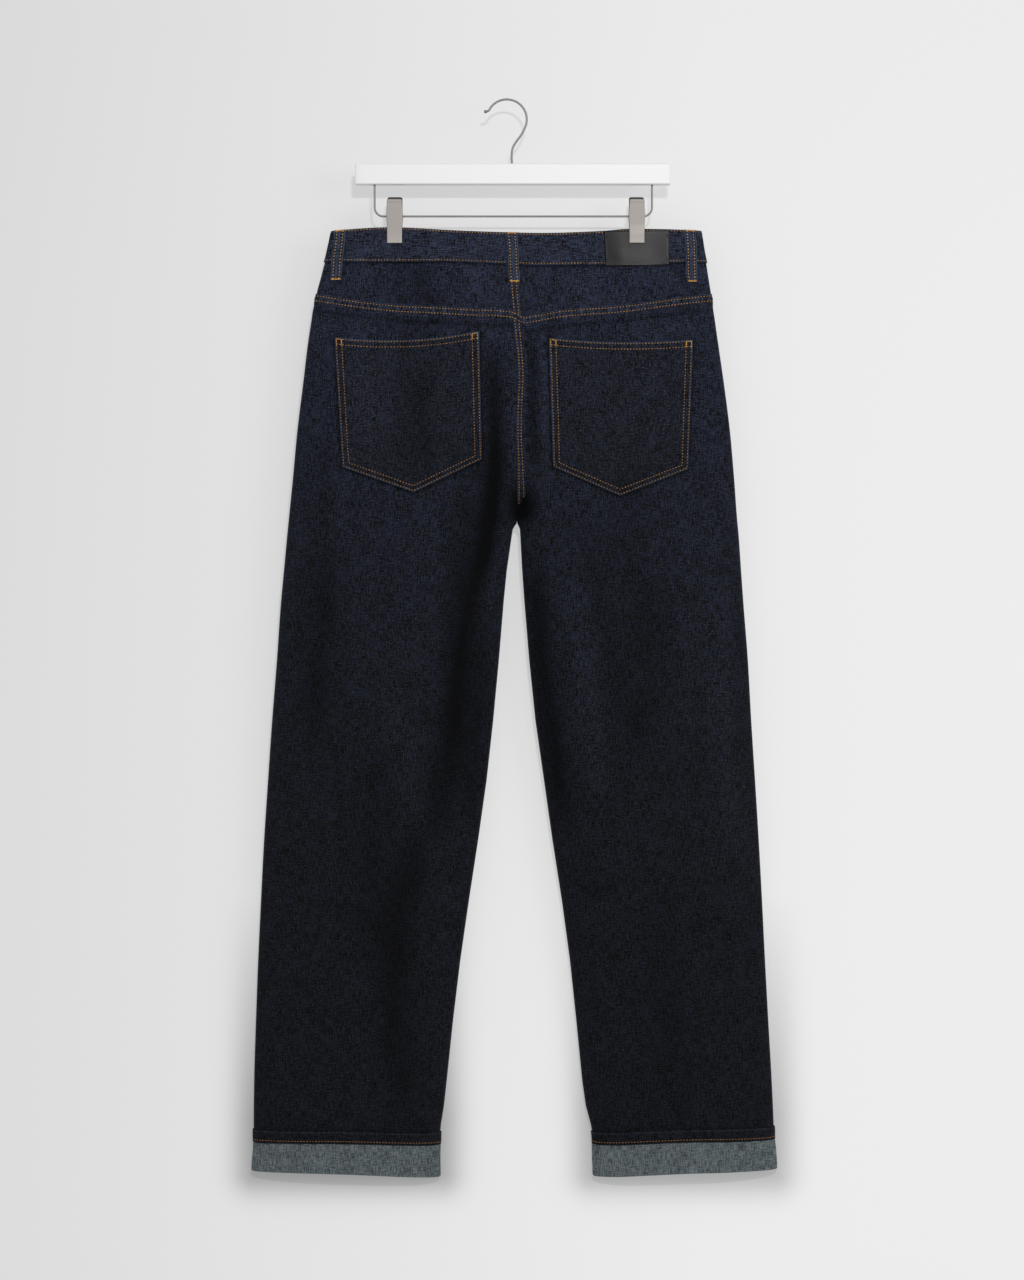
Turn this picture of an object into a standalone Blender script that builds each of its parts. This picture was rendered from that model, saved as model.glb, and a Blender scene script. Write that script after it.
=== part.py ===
"""Straight leg jeans with turned-up hems, held by the waist on a clip hanger.

Tables and functions are in millimetres, meshes in metres, +Z up. The garment's back faces -Y
and its front +Y; left and right are the wearer's. The origin is the inside of the hook's crest,
where the hanger rests on a rail.

The cloth is worked out as horizontal sections. `x` is measured across from the centre line and
`drop` down from the waist line. half_depth() gives the distance of the cloth's outer face from
the middle plane that parts front from back, and every sewn piece is a stretch of that form.
"""

from collections import namedtuple
import math

import bmesh
import bpy
import numpy as np

MM = 0.001
SIDE = {"left": -1, "right": 1}
FACE = {"back": -1, "front": 1}

# ---------------------------------------------------------------- place and cloth
CENTRE_X = 8.0            # garment's centre line, from the hook's crest
WAIST_Z = -147.5          # waist line, from the hook's crest
SEAM_GAP = 0.3            # between neighbouring pieces
CLOTH = 1.4               # wall of a single layer
BAND_WALL = 2.4           # folded waistband
BAND_HEIGHT = 35.0
BAND_PROUD = 0.8          # waistband's outer face beyond the yoke's
EDGE_RADIUS = 2.6         # rounding of the side seams and inseams
FACE_SHARE = {"back": 1.1, "front": 0.9}   # the seat is fuller than the front

CROTCH = 330.0            # drop at which the legs part
CLOSING_START = 205.0     # drop at which the centre seams start to sink to the crotch
CLOSING_POWER = 2.3
HEM_FOLD = 1065.0         # drop of the lowest fold of the turn-ups
LEG_END = HEM_FOLD - 3.0
FRONT_DIP = 15.0          # how far the front waist edge hangs below the back one

# The garment's outline. Above the crotch both inner edges lie on the centre seam.
Outline = namedtuple("Outline", "drop left_outer left_inner right_inner right_outer")
OUTLINE = (
    Outline(0, -205.5, 3.9, 4.1, 212.0),
    Outline(35, -213.0, 3.9, 4.1, 217.5),
    Outline(78, -224.0, 3.9, 4.1, 224.4),
    Outline(119, -231.0, 3.9, 4.1, 230.2),
    Outline(173, -237.7, 3.9, 4.1, 238.0),
    Outline(227, -244.3, 3.9, 4.1, 244.8),
    Outline(281, -249.3, 3.9, 4.1, 249.5),
    Outline(330, -254.2, 3.85, 4.15, 253.2),
    Outline(336, -254.8, -0.6, 7.3, 253.8),
    Outline(383, -259.2, -7.4, 9.8, 257.2),
    Outline(417, -262.4, -10.8, 12.2, 259.6),
    Outline(485, -267.2, -16.4, 17.8, 264.9),
    Outline(553, -272.6, -22.8, 24.8, 268.7),
    Outline(620, -277.2, -30.2, 34.4, 273.0),
    Outline(688, -281.7, -39.8, 44.0, 277.2),
    Outline(756, -285.2, -50.2, 54.6, 280.9),
    Outline(824, -288.4, -60.0, 63.8, 284.3),
    Outline(892, -290.9, -68.2, 71.0, 287.6),
    Outline(959, -292.9, -75.2, 77.6, 290.6),
    Outline(1009, -293.2, -81.4, 84.6, 292.4),
    Outline(1066, -292.6, -84.8, 91.4, 293.6),
)

# Half depth of the whole torso and of one leg, before the seat is made fuller.
Depth = namedtuple("Depth", "drop torso leg")
DEPTHS = (
    Depth(-5, 7.5, 7.5),
    Depth(35, 11, 9),
    Depth(78, 17, 13),
    Depth(119, 21, 17),
    Depth(173, 25, 22),
    Depth(227, 28, 25),
    Depth(281, 30, 28),
    Depth(330, 31, 29),
    Depth(417, 31, 30),
    Depth(553, 29, 28.5),
    Depth(688, 27, 26),
    Depth(824, 24, 23.5),
    Depth(959, 21, 21),
    Depth(1066, 20, 20),
)

# Sideways course of the back's centre seam.
SeatSeam = namedtuple("SeatSeam", "drop x")
SEAT_SEAM = (
    SeatSeam(-5, 0), SeatSeam(60, 0.8), SeatSeam(100, 4.0), SeatSeam(156, 7.0),
    SeatSeam(212, 6.4), SeatSeam(272, 7.4), SeatSeam(306, 6.8), SeatSeam(330, 4.0),
)
FRONT_SEAM_X = 4.0

# Edges that run across the garment: drop at each x.
Across = namedtuple("Across", "x drop")
WAIST_EDGE = (
    Across(-206, 0.2), Across(-143, -4.0), Across(-125, -3.8), Across(-70, 0.0), Across(-7, 2.5),
    Across(32, 3.3), Across(103, 0.2), Across(129, -2.3), Across(150, -2.3), Across(212, 0.0),
)
BAND_SEAM = (
    Across(-214, 33.0), Across(-73, 33.6), Across(-7, 36.6), Across(9, 37.4),
    Across(104, 36.6), Across(178, 34.0), Across(218, 33.9),
)
YOKE_SEAM = (
    Across(-224, 75.8), Across(-173, 83.0), Across(-129, 87.4), Across(-82, 89.4),
    Across(-16, 92.2), Across(3, 98.5), Across(10, 102.0), Across(22, 100.2), Across(47, 94.4),
    Across(79, 91.2), Across(116, 89.4), Across(153, 85.3), Across(191, 80.1), Across(225, 75.8),
)

# Back pockets: (x, drop) of each corner.
BackPocket = namedtuple("BackPocket", "top_outer top_mid top_inner low_inner point low_outer")
BACK_POCKETS = {
    "left": BackPocket((-202.3, 120.0), (-120.0, 124.2), (-38.5, 113.7),
                       (-35.0, 258.0), (-111.2, 294.4), (-192.8, 266.7)),
    "right": BackPocket((202.5, 123.2), (122.0, 127.2), (41.6, 122.4),
                        (46.3, 265.0), (121.6, 299.0), (198.4, 269.0)),
}

# Pocket side lines run on up into the yoke and down the leg, as columns of each back panel.
ColumnLine = namedtuple("ColumnLine", "drop outer point inner")
BACK_LINES = {
    "left": (ColumnLine(30, -184, -112, -40), ColumnLine(120, -202.3, -120.0, -38.5),
             ColumnLine(262, -192.8, -111.2, -35.0), ColumnLine(330, -197, -118, -40),
             ColumnLine(480, -214, -142, -70), ColumnLine(1066, -240, -189, -138)),
    "right": (ColumnLine(30, 188, 114, 40), ColumnLine(123, 202.5, 122.0, 41.6),
              ColumnLine(267, 198.4, 121.6, 46.3), ColumnLine(330, 200, 122, 46),
              ColumnLine(480, 212, 142, 72), ColumnLine(1066, 242, 193, 144)),
}
POCKET_STEPS = 3                       # columns from a pocket's side to its point
EDGE_STEPS = (0.0, 1.5, 8.0, 25.0)     # columns near an edge, by their distance from it

# Hand-pocket openings of the front: a quarter ellipse from the waistband to the side seam.
SCOOP_START_X = {"left": -112.0, "right": 118.0}
SCOOP_DROP = 116.0
SCOOP_STEPS = (0.0, 0.05, 0.17, 0.42)  # columns from the start, as shares of the opening's width
FACING_INSET = CLOTH + 1.0
FACING_OVERLAP = 14.0
FACING_FLUSH = 24.0       # width over which it comes out to the side seam

# The largest folds. Positive heights stand out from the cloth.
Fold = namedtuple("Fold", "face height width path")
FOLDS = (
    Fold("back", -3.2, 13, ((-15, 190), (-17, 260), (-32, 360), (-49, 440), (-66, 530), (-76, 590), (-72, 650))),
    Fold("back", 2.4, 17, ((-150, 510), (-118, 620), (-80, 750))),
    Fold("back", -2.0, 19, ((158, 365), (157, 530), (138, 590))),
    Fold("back", -2.0, 12, ((55, 742), (88, 745), (125, 736))),
    Fold("back", 1.6, 14, ((-122, 30), (-108, 75), (-92, 120))),
    Fold("back", 1.5, 17, ((-165, 125), (-160, 250))),
    Fold("back", -1.5, 15, ((-103, 150), (-106, 280))),
    Fold("front", -3.0, 14, ((24, 210), (36, 300), (52, 400), (66, 520), (70, 610))),
    Fold("front", -2.6, 13, ((-16, 220), (-34, 330), (-60, 430), (-96, 520))),
    Fold("front", 2.2, 18, ((150, 480), (120, 620), (86, 760))),
    Fold("front", -2.2, 16, ((-60, 745), (-110, 730), (-160, 745))),
    Fold("front", 1.8, 15, ((128, 40), (104, 100), (70, 165))),
)
FOLD_EDGE_FADE = 20.0

# ---------------------------------------------------------------- hanger and fittings
CLIP_X = {"left": -134.2, "right": 139.4}
CLIP_BOTTOM_Z = -160.6
CLIP_WIDTH_TOP, CLIP_WIDTH_JAW = 16.5, 17.2
CLIP_SHEET = 1.0
PINCH_FLAT, PINCH_WIDTH = 13.0, 34.0         # across, on each side of a clip
PINCH_DROP_FLAT, PINCH_DROP = 18.0, 48.0     # down from the waist
PINCHED_DEPTH = 2.0

BAR_SIZE = (356.0, 12.0, 23.4)
BAR_X, BAR_TOP_Z = 7.4, -72.0
HOOK_WIRE, HOOK_RADIUS, HOOK_TIP_RADIUS = 2.4, 22.6, 1.9
RAIL_WIRE, RAIL_BEND = 2.2, 10.0
RAIL_LEFT_X, RAIL_RIGHT_X, RAIL_Z = -148.8, 164.6, -131.0
STEM_X = 6.3

LOOP_WIDTH, LOOP_WALL = 12.0, 1.8
Loop = namedtuple("Loop", "name face top_x low_x low_drop")
LOOPS = (
    Loop("loop_back_centre", "back", -1.7, 1.1, 57.5),
    Loop("loop_side_left", "back", -195.4, -200.2, 55.4),
    Loop("loop_side_right", "back", 199.4, 202.2, 56.8),
    Loop("loop_front_left", "front", -92.0, -93.0, 59.0),
    Loop("loop_front_right", "front", 98.0, 99.0, 59.0),
)
# Distance of a loop's inner face from the yoke's form, from its top edge to its lower one.
LOOP_LIFT = (1.3, 1.9, 2.3, 2.4, 2.2, 1.6, 0.9, 0.6)

PATCH_LEFT_X, PATCH_RIGHT_X, PATCH_TOP, PATCH_LOW = 103.8, 175.6, 0.4, 38.8
PATCH_WALL = 1.2
PATCH_GAP = 0.5            # to the waistband, whose facets it must clear
BUTTON_RADIUS = 8.5
BUTTON_GAP = 0.6           # its flat stem stands on a sloping band
FLY_OVERLAP_X = 26.0      # where the left waistband end lies over the right one


# ---------------------------------------------------------------- the garment's form
def along(table, column, at):
    """A column of a table at the given first-column values, on a smooth curve through its rows."""
    knots = np.array([row[0] for row in table], float)
    values = np.array([getattr(row, column) for row in table], float)
    slopes = np.gradient(values, knots)
    at = np.clip(at, knots[0], knots[-1])
    i = np.clip(np.searchsorted(knots, at) - 1, 0, len(knots) - 2)
    span = knots[i + 1] - knots[i]
    s = (at - knots[i]) / span
    start = (2 * s**3 - 3 * s**2 + 1) * values[i] + (s**3 - 2 * s**2 + s) * span * slopes[i]
    end = (3 * s**2 - 2 * s**3) * values[i + 1] + (s**3 - s**2) * span * slopes[i + 1]
    return start + end


def straight(table, column, at):
    """A column of a table at the given first-column values, on straight lines through its rows."""
    return np.interp(at, [row[0] for row in table], [getattr(row, column) for row in table])


def smooth(value):
    s = np.clip(value, 0, 1)
    return s * s * (3 - 2 * s)


def seam_x(face, drop):
    """The centre seam above the crotch."""
    if face == "back":
        return along(SEAT_SEAM, "x", drop)
    return np.full_like(np.asarray(drop, float), FRONT_SEAM_X)


def outer_edge(leg, drop):
    return along(OUTLINE, leg + "_outer", drop)


def inner_edge(leg, face, drop):
    above = seam_x(face, drop) + SIDE[leg] * SEAM_GAP / 2
    return np.where(drop <= CROTCH, above, straight(OUTLINE, leg + "_inner", drop))


def lens(x, low, high, depth):
    """Half depth of a section from low to high: a quarter round at each edge and a flat ellipse."""
    half = (high - low) / 2
    t = np.clip(np.abs(x - (low + high) / 2) / half, 0, 1)
    from_edge = np.clip(half * (1 - t) / EDGE_RADIUS, 0, 1)
    rounding = EDGE_RADIUS * np.sqrt(np.clip(1 - (1 - from_edge) ** 2, 0, 1))
    return rounding + (depth - EDGE_RADIUS) * np.sqrt(1 - t**2)


def closing(drop):
    """0 where the torso is one section, 1 where it has parted into two legs."""
    share = np.clip((drop - CLOSING_START) / (CROTCH - CLOSING_START), 0, 1)
    return share**CLOSING_POWER


def pinch(x, drop):
    """1 under the clips, fading to 0 around them."""
    down = np.clip(drop - PINCH_DROP_FLAT, 0, None) / PINCH_DROP
    share = 0.0
    for clip_x in CLIP_X.values():
        across = np.clip(np.abs(x - clip_x) - PINCH_FLAT, 0, None) / PINCH_WIDTH
        share = np.maximum(share, np.exp(-(across**2) - down**2))
    return share


def fold_height(x, drop, face):
    """Sum of the folds: a bell across each path, fading over its first and last quarter."""
    total = np.zeros_like(x)
    for fold in FOLDS:
        if fold.face != face:
            continue
        path = np.array(fold.path, float)
        lengths = np.concatenate(([0], np.cumsum(np.hypot(*np.diff(path, axis=0).T))))
        nearest = np.full_like(x, np.inf)
        reached = np.zeros_like(x)
        for start, end, before, after in zip(path[:-1], path[1:], lengths[:-1], lengths[1:]):
            run = end - start
            s = ((x - start[0]) * run[0] + (drop - start[1]) * run[1]) / (run @ run)
            s = np.clip(s, 0, 1)
            distance = np.hypot(x - start[0] - s * run[0], drop - start[1] - s * run[1])
            closer = distance < nearest
            nearest = np.where(closer, distance, nearest)
            reached = np.where(closer, (before + s * (after - before)) / lengths[-1], reached)
        fade = smooth(reached * 4) * smooth((1 - reached) * 4)
        total += fold.height * fade * np.exp(-((nearest / fold.width) ** 2))
    return total


def half_depth(x, drop, leg, face):
    """Distance of the cloth's outer face from the middle plane."""
    x, drop = np.broadcast_arrays(np.asarray(x, float), np.asarray(drop, float))
    side, inside = outer_edge(leg, drop), inner_edge(leg, face, drop)
    whole = lens(x, outer_edge("left", drop), outer_edge("right", drop),
                 along(DEPTHS, "torso", drop) * FACE_SHARE[face])
    one_leg = lens(x, np.minimum(side, inside), np.maximum(side, inside),
                   along(DEPTHS, "leg", drop) * FACE_SHARE[face])
    depth = whole + closing(drop) * (one_leg - whole)
    held = np.minimum(depth, PINCHED_DEPTH)
    depth = held + (depth - held) * (1 - pinch(x, drop))
    from_side = smooth(np.abs(x - side) / FOLD_EDGE_FADE)
    from_inside = 1 - closing(drop) * (1 - smooth(np.abs(x - inside) / FOLD_EDGE_FADE))
    return depth + fold_height(x, drop, face) * from_side * from_inside


# ---------------------------------------------------------------- columns and rows of a panel
def back_columns(leg, drop):
    """x of each column of a back panel at drops given per column, side seam first."""
    side, inside = outer_edge(leg, drop), inner_edge(leg, "back", drop)
    lines = BACK_LINES[leg]
    outer, point, inner = (np.interp(drop, [row.drop for row in lines], [getattr(row, name) for row in lines])
                           for name in ("outer", "point", "inner"))
    columns = [side - SIDE[leg] * step for step in EDGE_STEPS]
    columns += [outer + (point - outer) * step / POCKET_STEPS for step in range(POCKET_STEPS)]
    columns += [point + (inner - point) * step / POCKET_STEPS for step in range(POCKET_STEPS + 1)]
    columns += [inside + SIDE[leg] * step for step in reversed(EDGE_STEPS)]
    return own_drops(columns)


def own_drops(columns):
    """From each column's x at every column's drop, keep the x at its own drop."""
    return np.diagonal(np.array(columns)).copy()


BACK_COLUMN_COUNT = 2 * len(EDGE_STEPS) + 2 * POCKET_STEPS + 1
POCKET_FIRST = len(EDGE_STEPS)
POCKET_POINT = POCKET_FIRST + POCKET_STEPS
POCKET_LAST = POCKET_POINT + POCKET_STEPS


def seam_row(leg, table, shift):
    """Drop of each back column where it meets an edge that runs across the garment."""
    drop = np.full(BACK_COLUMN_COUNT, table[0].drop)
    for _ in range(5):
        drop = along(table, "drop", back_columns(leg, drop)) + shift
    return drop


def pocket_row(leg, edge):
    """Drop of each column of a back panel along the top or the lower edge of its pocket."""
    corners = BACK_POCKETS[leg]
    outer, middle, inner = {"top": (corners.top_outer, corners.top_mid, corners.top_inner),
                            "low": (corners.low_outer, corners.point, corners.low_inner)}[edge]
    drop = np.full(BACK_COLUMN_COUNT, outer[1])
    drop[POCKET_LAST:] = inner[1]
    for i in range(POCKET_FIRST, POCKET_LAST + 1):
        if edge == "top":       # a sagging curve through the three points
            s = (i - POCKET_FIRST) / (2 * POCKET_STEPS)
            sag = middle[1] - (outer[1] + inner[1]) / 2
            drop[i] = outer[1] + (inner[1] - outer[1]) * s + sag * 4 * s * (1 - s)
        elif i <= POCKET_POINT:
            drop[i] = outer[1] + (middle[1] - outer[1]) * (i - POCKET_FIRST) / POCKET_STEPS
        else:
            drop[i] = middle[1] + (inner[1] - middle[1]) * (i - POCKET_POINT) / POCKET_STEPS
    return drop


def rows_between(rows):
    """Rows from key rows and the number of steps that follow each: ((drops, steps), ...)."""
    result = []
    for (start, steps), (end, _) in zip(rows[:-1], rows[1:]):
        result += [start + (end - start) * step / steps for step in range(steps)]
    result.append(rows[-1][0])
    return np.array(result)


LEG_ROW_DROPS = (348, 383, 425, 470, 520, 570, 620, 670, 720, 770, 825, 880, 940, 1005)
FRONT_ROW_DROPS = (142.0, 172.0, 200.0, 228.0, 254.0, 278.0, 298.0, 315.0)


def leg_rows(count):
    """Level rows from the crotch to the end of the leg."""
    levels = (CROTCH,) + LEG_ROW_DROPS + (LEG_END,)
    return [(np.full(count, float(level)), 1) for level in levels]


# ---------------------------------------------------------------- surfaces
def surface(x, drop, leg, face):
    """Outer points and outward directions of a grid of rows by columns.

    A direction lies in its section. It is square to the cloth, and at a seam it is the one that
    both neighbours share: sideways at the side seam, and turning from straight back to sideways
    down the centre seam.
    """
    y = FACE[face] * (SEAM_GAP / 2 + half_depth(x, drop, leg, face))
    across, out = np.gradient(x, axis=1), np.gradient(y, axis=1)
    length = np.hypot(across, out)
    towards_inside = -SIDE[leg]
    normal = np.stack((-out * FACE[face] * towards_inside / length,
                       across * FACE[face] * towards_inside / length), axis=-1)
    at_side = np.abs(x - outer_edge(leg, drop)) < 0.01
    normal[at_side] = (SIDE[leg], 0)
    at_inside = np.abs(x - inner_edge(leg, face, drop)) < 0.01
    turn = closing(drop) * math.pi / 2
    shared = np.stack((-SIDE[leg] * np.sin(turn), FACE[face] * np.cos(turn)), axis=-1)
    normal[at_inside] = shared[at_inside]
    return np.stack((x, y, drop), axis=-1), normal


def moved_out(points, normal, distance):
    """Grid moved along its directions, kept on its own side of the middle plane."""
    result = points.copy()
    result[..., :2] += normal * np.asarray(distance)[..., None]
    sign = np.sign(points[..., 1])
    result[..., 1] = sign * np.maximum(np.abs(result[..., 1]), SEAM_GAP / 2)
    return result


def kept_on_side(points, leg, face):
    """Above the crotch no point crosses the centre seam."""
    result = points.copy()
    limit = inner_edge(leg, face, points[..., 2])
    crossing = (points[..., 2] <= CROTCH) & ((points[..., 0] - limit) * SIDE[leg] < 0)
    result[..., 0] = np.where(crossing, limit, points[..., 0])
    return result


# ---------------------------------------------------------------- building
def material(name, colour, roughness, metallic=0.0):
    made = bpy.data.materials.new(name)
    made.use_nodes = True
    shader = made.node_tree.nodes["Principled BSDF"]
    shader.inputs["Base Color"].default_value = (*colour, 1.0)
    shader.inputs["Roughness"].default_value = roughness
    shader.inputs["Metallic"].default_value = metallic
    made.diffuse_color = (*colour, 1.0)
    return made


def collected(piece, finish):
    for owner in list(piece.users_collection):
        owner.objects.unlink(piece)
    bpy.data.collections["straight_leg_jeans"].objects.link(piece)
    piece.data.materials.clear()
    piece.data.materials.append(finish)
    return piece


def wall(name, outside, inside, finish):
    """Closed wall between two grids of (x, y, drop) points, with its rim."""
    rows, columns = outside.shape[:2]
    points = np.concatenate((outside.reshape(-1, 3), inside.reshape(-1, 3)))
    places = np.column_stack((CENTRE_X + points[:, 0], points[:, 1], WAIST_Z - points[:, 2])) * MM
    index = np.arange(rows * columns).reshape(rows, columns)
    a, b, c, d = index[:-1, :-1], index[:-1, 1:], index[1:, 1:], index[1:, :-1]
    triangles = np.concatenate([np.stack(corner, -1).reshape(-1, 3) for corner in ((a, b, c), (a, c, d))])
    back = triangles[:, ::-1] + rows * columns
    rim = np.concatenate((index[0, :-1], index[:-1, -1], index[-1, :0:-1], index[:0:-1, 0]))
    after = np.roll(rim, -1)
    below, below_after = rim + rows * columns, after + rows * columns
    edges = np.concatenate((np.column_stack((rim, below_after, after)),
                            np.column_stack((rim, below, below_after))))
    mesh = bpy.data.meshes.new(name)
    mesh.from_pydata(places.tolist(), [], np.concatenate((triangles, back, edges)).tolist())
    shell = bmesh.new()
    shell.from_mesh(mesh)
    bmesh.ops.recalc_face_normals(shell, faces=shell.faces)
    shell.to_mesh(mesh)
    shell.free()
    piece = bpy.data.objects.new(name, mesh)
    bpy.context.scene.collection.objects.link(piece)
    mesh.shade_smooth()
    mesh.set_sharp_from_angle(angle=math.radians(40))
    return collected(piece, finish)


def cloth_piece(name, x, drop, leg, face, finish, proud=0.0):
    """Single layer of cloth whose outer face stands proud of the form, or behind it."""
    points, normal = surface(x, drop, leg, face)
    lift = np.zeros(x.shape) + proud
    outside = kept_on_side(moved_out(points, normal, lift), leg, face)
    inside = kept_on_side(moved_out(points, normal, lift - CLOTH), leg, face)
    return wall(name, outside, inside, finish)


def wire(name, path, diameter, finish):
    """Round wire along (x, y, z) points in millimetres."""
    curve = bpy.data.curves.new(name, "CURVE")
    curve.dimensions = "3D"
    curve.bevel_depth = diameter / 2 * MM
    curve.bevel_resolution = 2
    curve.use_fill_caps = True
    spline = curve.splines.new("POLY")
    spline.points.add(len(path) - 1)
    for point, place in zip(spline.points, path):
        point.co = (place[0] * MM, place[1] * MM, place[2] * MM, 1)
    piece = bpy.data.objects.new(name, curve)
    bpy.context.scene.collection.objects.link(piece)
    return collected(piece, finish)


def arc(centre, radius, start, end, steps):
    """Points of an arc in the XZ plane, angles in degrees."""
    angles = [math.radians(start + (end - start) * step / steps) for step in range(steps + 1)]
    return [(centre[0] + radius * math.cos(a), 0.0, centre[1] + radius * math.sin(a)) for a in angles]


def turned(name, profile, place, rotation, finish, steps=16):
    """Solid of revolution from a (radius, height) profile, turned about its own Z axis."""
    mesh = bpy.data.meshes.new(name)
    mesh.from_pydata([(r * MM, 0, h * MM) for r, h in profile], [(i, i + 1) for i in range(len(profile) - 1)], [])
    piece = bpy.data.objects.new(name, mesh)
    bpy.context.scene.collection.objects.link(piece)
    screw = piece.modifiers.new("turn", "SCREW")
    screw.steps = screw.render_steps = steps
    screw.use_merge_vertices = True
    screw.merge_threshold = 0.00001
    piece.location = [value * MM for value in place]
    piece.rotation_euler = rotation
    return collected(piece, finish)


# ---------------------------------------------------------------- cloth pieces
def back_panel_rows(leg):
    yoke = seam_row(leg, YOKE_SEAM, SEAM_GAP / 2)
    top, low = pocket_row(leg, "top"), pocket_row(leg, "low")
    level = np.full(BACK_COLUMN_COUNT, 311.0)
    return rows_between([(yoke, 2), (top, 6), (low, 2), (level, 1)] + leg_rows(BACK_COLUMN_COUNT))


POCKET_TOP_ROW, POCKET_LOW_ROW = 2, 8


def back_grid(leg, drop):
    return np.array([back_columns(leg, row) for row in drop])


def make_back(leg, denim):
    drop = back_panel_rows(leg)
    x = back_grid(leg, drop)
    cloth_piece("back_" + leg, x, drop, leg, "back", denim)
    points, normal = surface(x, drop, leg, "back")
    area = (slice(POCKET_TOP_ROW, POCKET_LOW_ROW + 1), slice(POCKET_FIRST, POCKET_LAST + 1))
    inside = moved_out(points[area], normal[area], SEAM_GAP)
    outside = moved_out(points[area], normal[area], SEAM_GAP + CLOTH)
    wall("back_pocket_" + leg, outside, inside, denim)


def make_yoke(leg, denim):
    top = seam_row(leg, BAND_SEAM, SEAM_GAP / 2)
    low = seam_row(leg, YOKE_SEAM, -SEAM_GAP / 2)
    drop = rows_between([(top, 3), (low, 1)])
    cloth_piece("yoke_" + leg, back_grid(leg, drop), drop, leg, "back", denim)


def front_edge_drop(x):
    """Waist edge of the front, which dips to the middle."""
    half = np.where(x < 0, 206.0, 212.0)
    return along(WAIST_EDGE, "drop", x) + FRONT_DIP * np.clip(1 - (x / half) ** 2, 0, 1) ** 1.5


def front_seam_drop(x):
    """Lower seam of the front waistband, a band's height below its edge."""
    half = np.where(x < 0, 206.0, 212.0)
    return along(BAND_SEAM, "drop", x) + FRONT_DIP * np.clip(1 - (x / half) ** 2, 0, 1) ** 1.5


def scoop_drop(leg, x):
    """Edge of the hand-pocket opening from the waistband to the side seam."""
    start = SCOOP_START_X[leg]
    share = np.clip((x - start) / (outer_edge(leg, SCOOP_DROP) - start), 0, 1)
    top = front_seam_drop(np.array(start))
    return top + (SCOOP_DROP - top) * np.sqrt(np.clip(1 - (1 - share) ** 2, 0, 1))


MIDDLE_SHARES_LOW = (0.20, 0.29, 0.38, 0.46, 0.54, 0.62, 0.71, 0.80)
FRONT_COLUMN_COUNT = 2 * len(EDGE_STEPS) + len(MIDDLE_SHARES_LOW)


def front_columns(leg, drop):
    """x of each column of a front panel at its own drop, side seam first.

    At the top, columns crowd to the start of the hand-pocket opening; down the leg they spread.
    """
    side, inside = outer_edge(leg, drop), inner_edge(leg, "front", drop)
    start = SCOOP_START_X[leg]
    opening = [start + (side - start) * share for share in (0.68,) + tuple(reversed(SCOOP_STEPS))]
    centre = [start + (inside - start) * share for share in (0.25, 0.5, 0.75)]
    spread = smooth((drop - SCOOP_DROP - 10) / 110)
    columns = [side - SIDE[leg] * step for step in EDGE_STEPS]
    for at_top, share in zip(opening + centre, MIDDLE_SHARES_LOW):
        columns.append(at_top + spread * (side + (inside - side) * share - at_top))
    columns += [inside + SIDE[leg] * step for step in reversed(EDGE_STEPS)]
    return own_drops(columns)


def front_top_row(leg):
    """Drop of each column along the waistband seam and round the hand-pocket opening."""
    drop = np.full(FRONT_COLUMN_COUNT, 60.0)
    for _ in range(8):
        x = front_columns(leg, drop)
        drop = np.where((x - SCOOP_START_X[leg]) * SIDE[leg] > 0, scoop_drop(leg, x), front_seam_drop(x))
        drop += SEAM_GAP / 2
    return drop


def make_front(leg, denim):
    top = front_top_row(leg)
    levels = [(np.full(FRONT_COLUMN_COUNT, level), 1) for level in FRONT_ROW_DROPS]
    drop = rows_between([(top, 3)] + levels + leg_rows(FRONT_COLUMN_COUNT))
    x = np.array([front_columns(leg, row) for row in drop])
    cloth_piece("front_" + leg, x, drop, leg, "front", denim)


def make_facing(leg, denim):
    """Cloth that shows inside the hand-pocket opening, behind the front."""
    start = SCOOP_START_X[leg] - SIDE[leg] * FACING_OVERLAP
    shares = np.array([0.0, 0.14, 0.28, 0.42, 0.56, 0.70, 0.82])
    top, low = [], []
    for share in shares:
        x_top = start + (outer_edge(leg, 40.0) - start) * share
        top.append(front_seam_drop(np.array(x_top)) + SEAM_GAP)
    edge_count = len(EDGE_STEPS)
    top_drop = np.concatenate((np.full(edge_count, 34.5), np.array(top)[::-1]))
    low_x = np.concatenate((outer_edge(leg, SCOOP_DROP) - SIDE[leg] * np.array(EDGE_STEPS),
                            start + (outer_edge(leg, SCOOP_DROP) - start) * shares[::-1]))
    low_drop = np.maximum(scoop_drop(leg, low_x), top_drop) + FACING_OVERLAP
    drop = rows_between([(top_drop, 5), (low_drop, 1)])
    side = outer_edge(leg, drop)
    x = np.empty_like(drop)
    x[:, :edge_count] = side[:, :edge_count] - SIDE[leg] * np.array(EDGE_STEPS)
    x[:, edge_count:] = start + (side[:, edge_count:] - start) * shares[::-1]
    # At the side seam it comes out flush, until it goes behind the front.
    flush = smooth(1 - np.abs(x - side) / FACING_FLUSH) * smooth((SCOOP_DROP - 14 - drop) / 18)
    cloth_piece("pocket_facing_" + leg, x, drop, leg, "front", denim, proud=FACING_INSET * (flush - 1))


def band_columns(low_x, high_x, low_edge, high_edge, count):
    """x of a waistband strip, with columns crowded at an end that lies on a side seam."""
    steps = np.array(EDGE_STEPS)
    start = low_x + steps if low_edge else np.array([low_x])
    end = high_x - steps[::-1] if high_edge else np.array([high_x])
    middle = np.linspace(start[-1], end[0], count + 2)[1:-1]
    return np.concatenate((start, middle, end))


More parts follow.
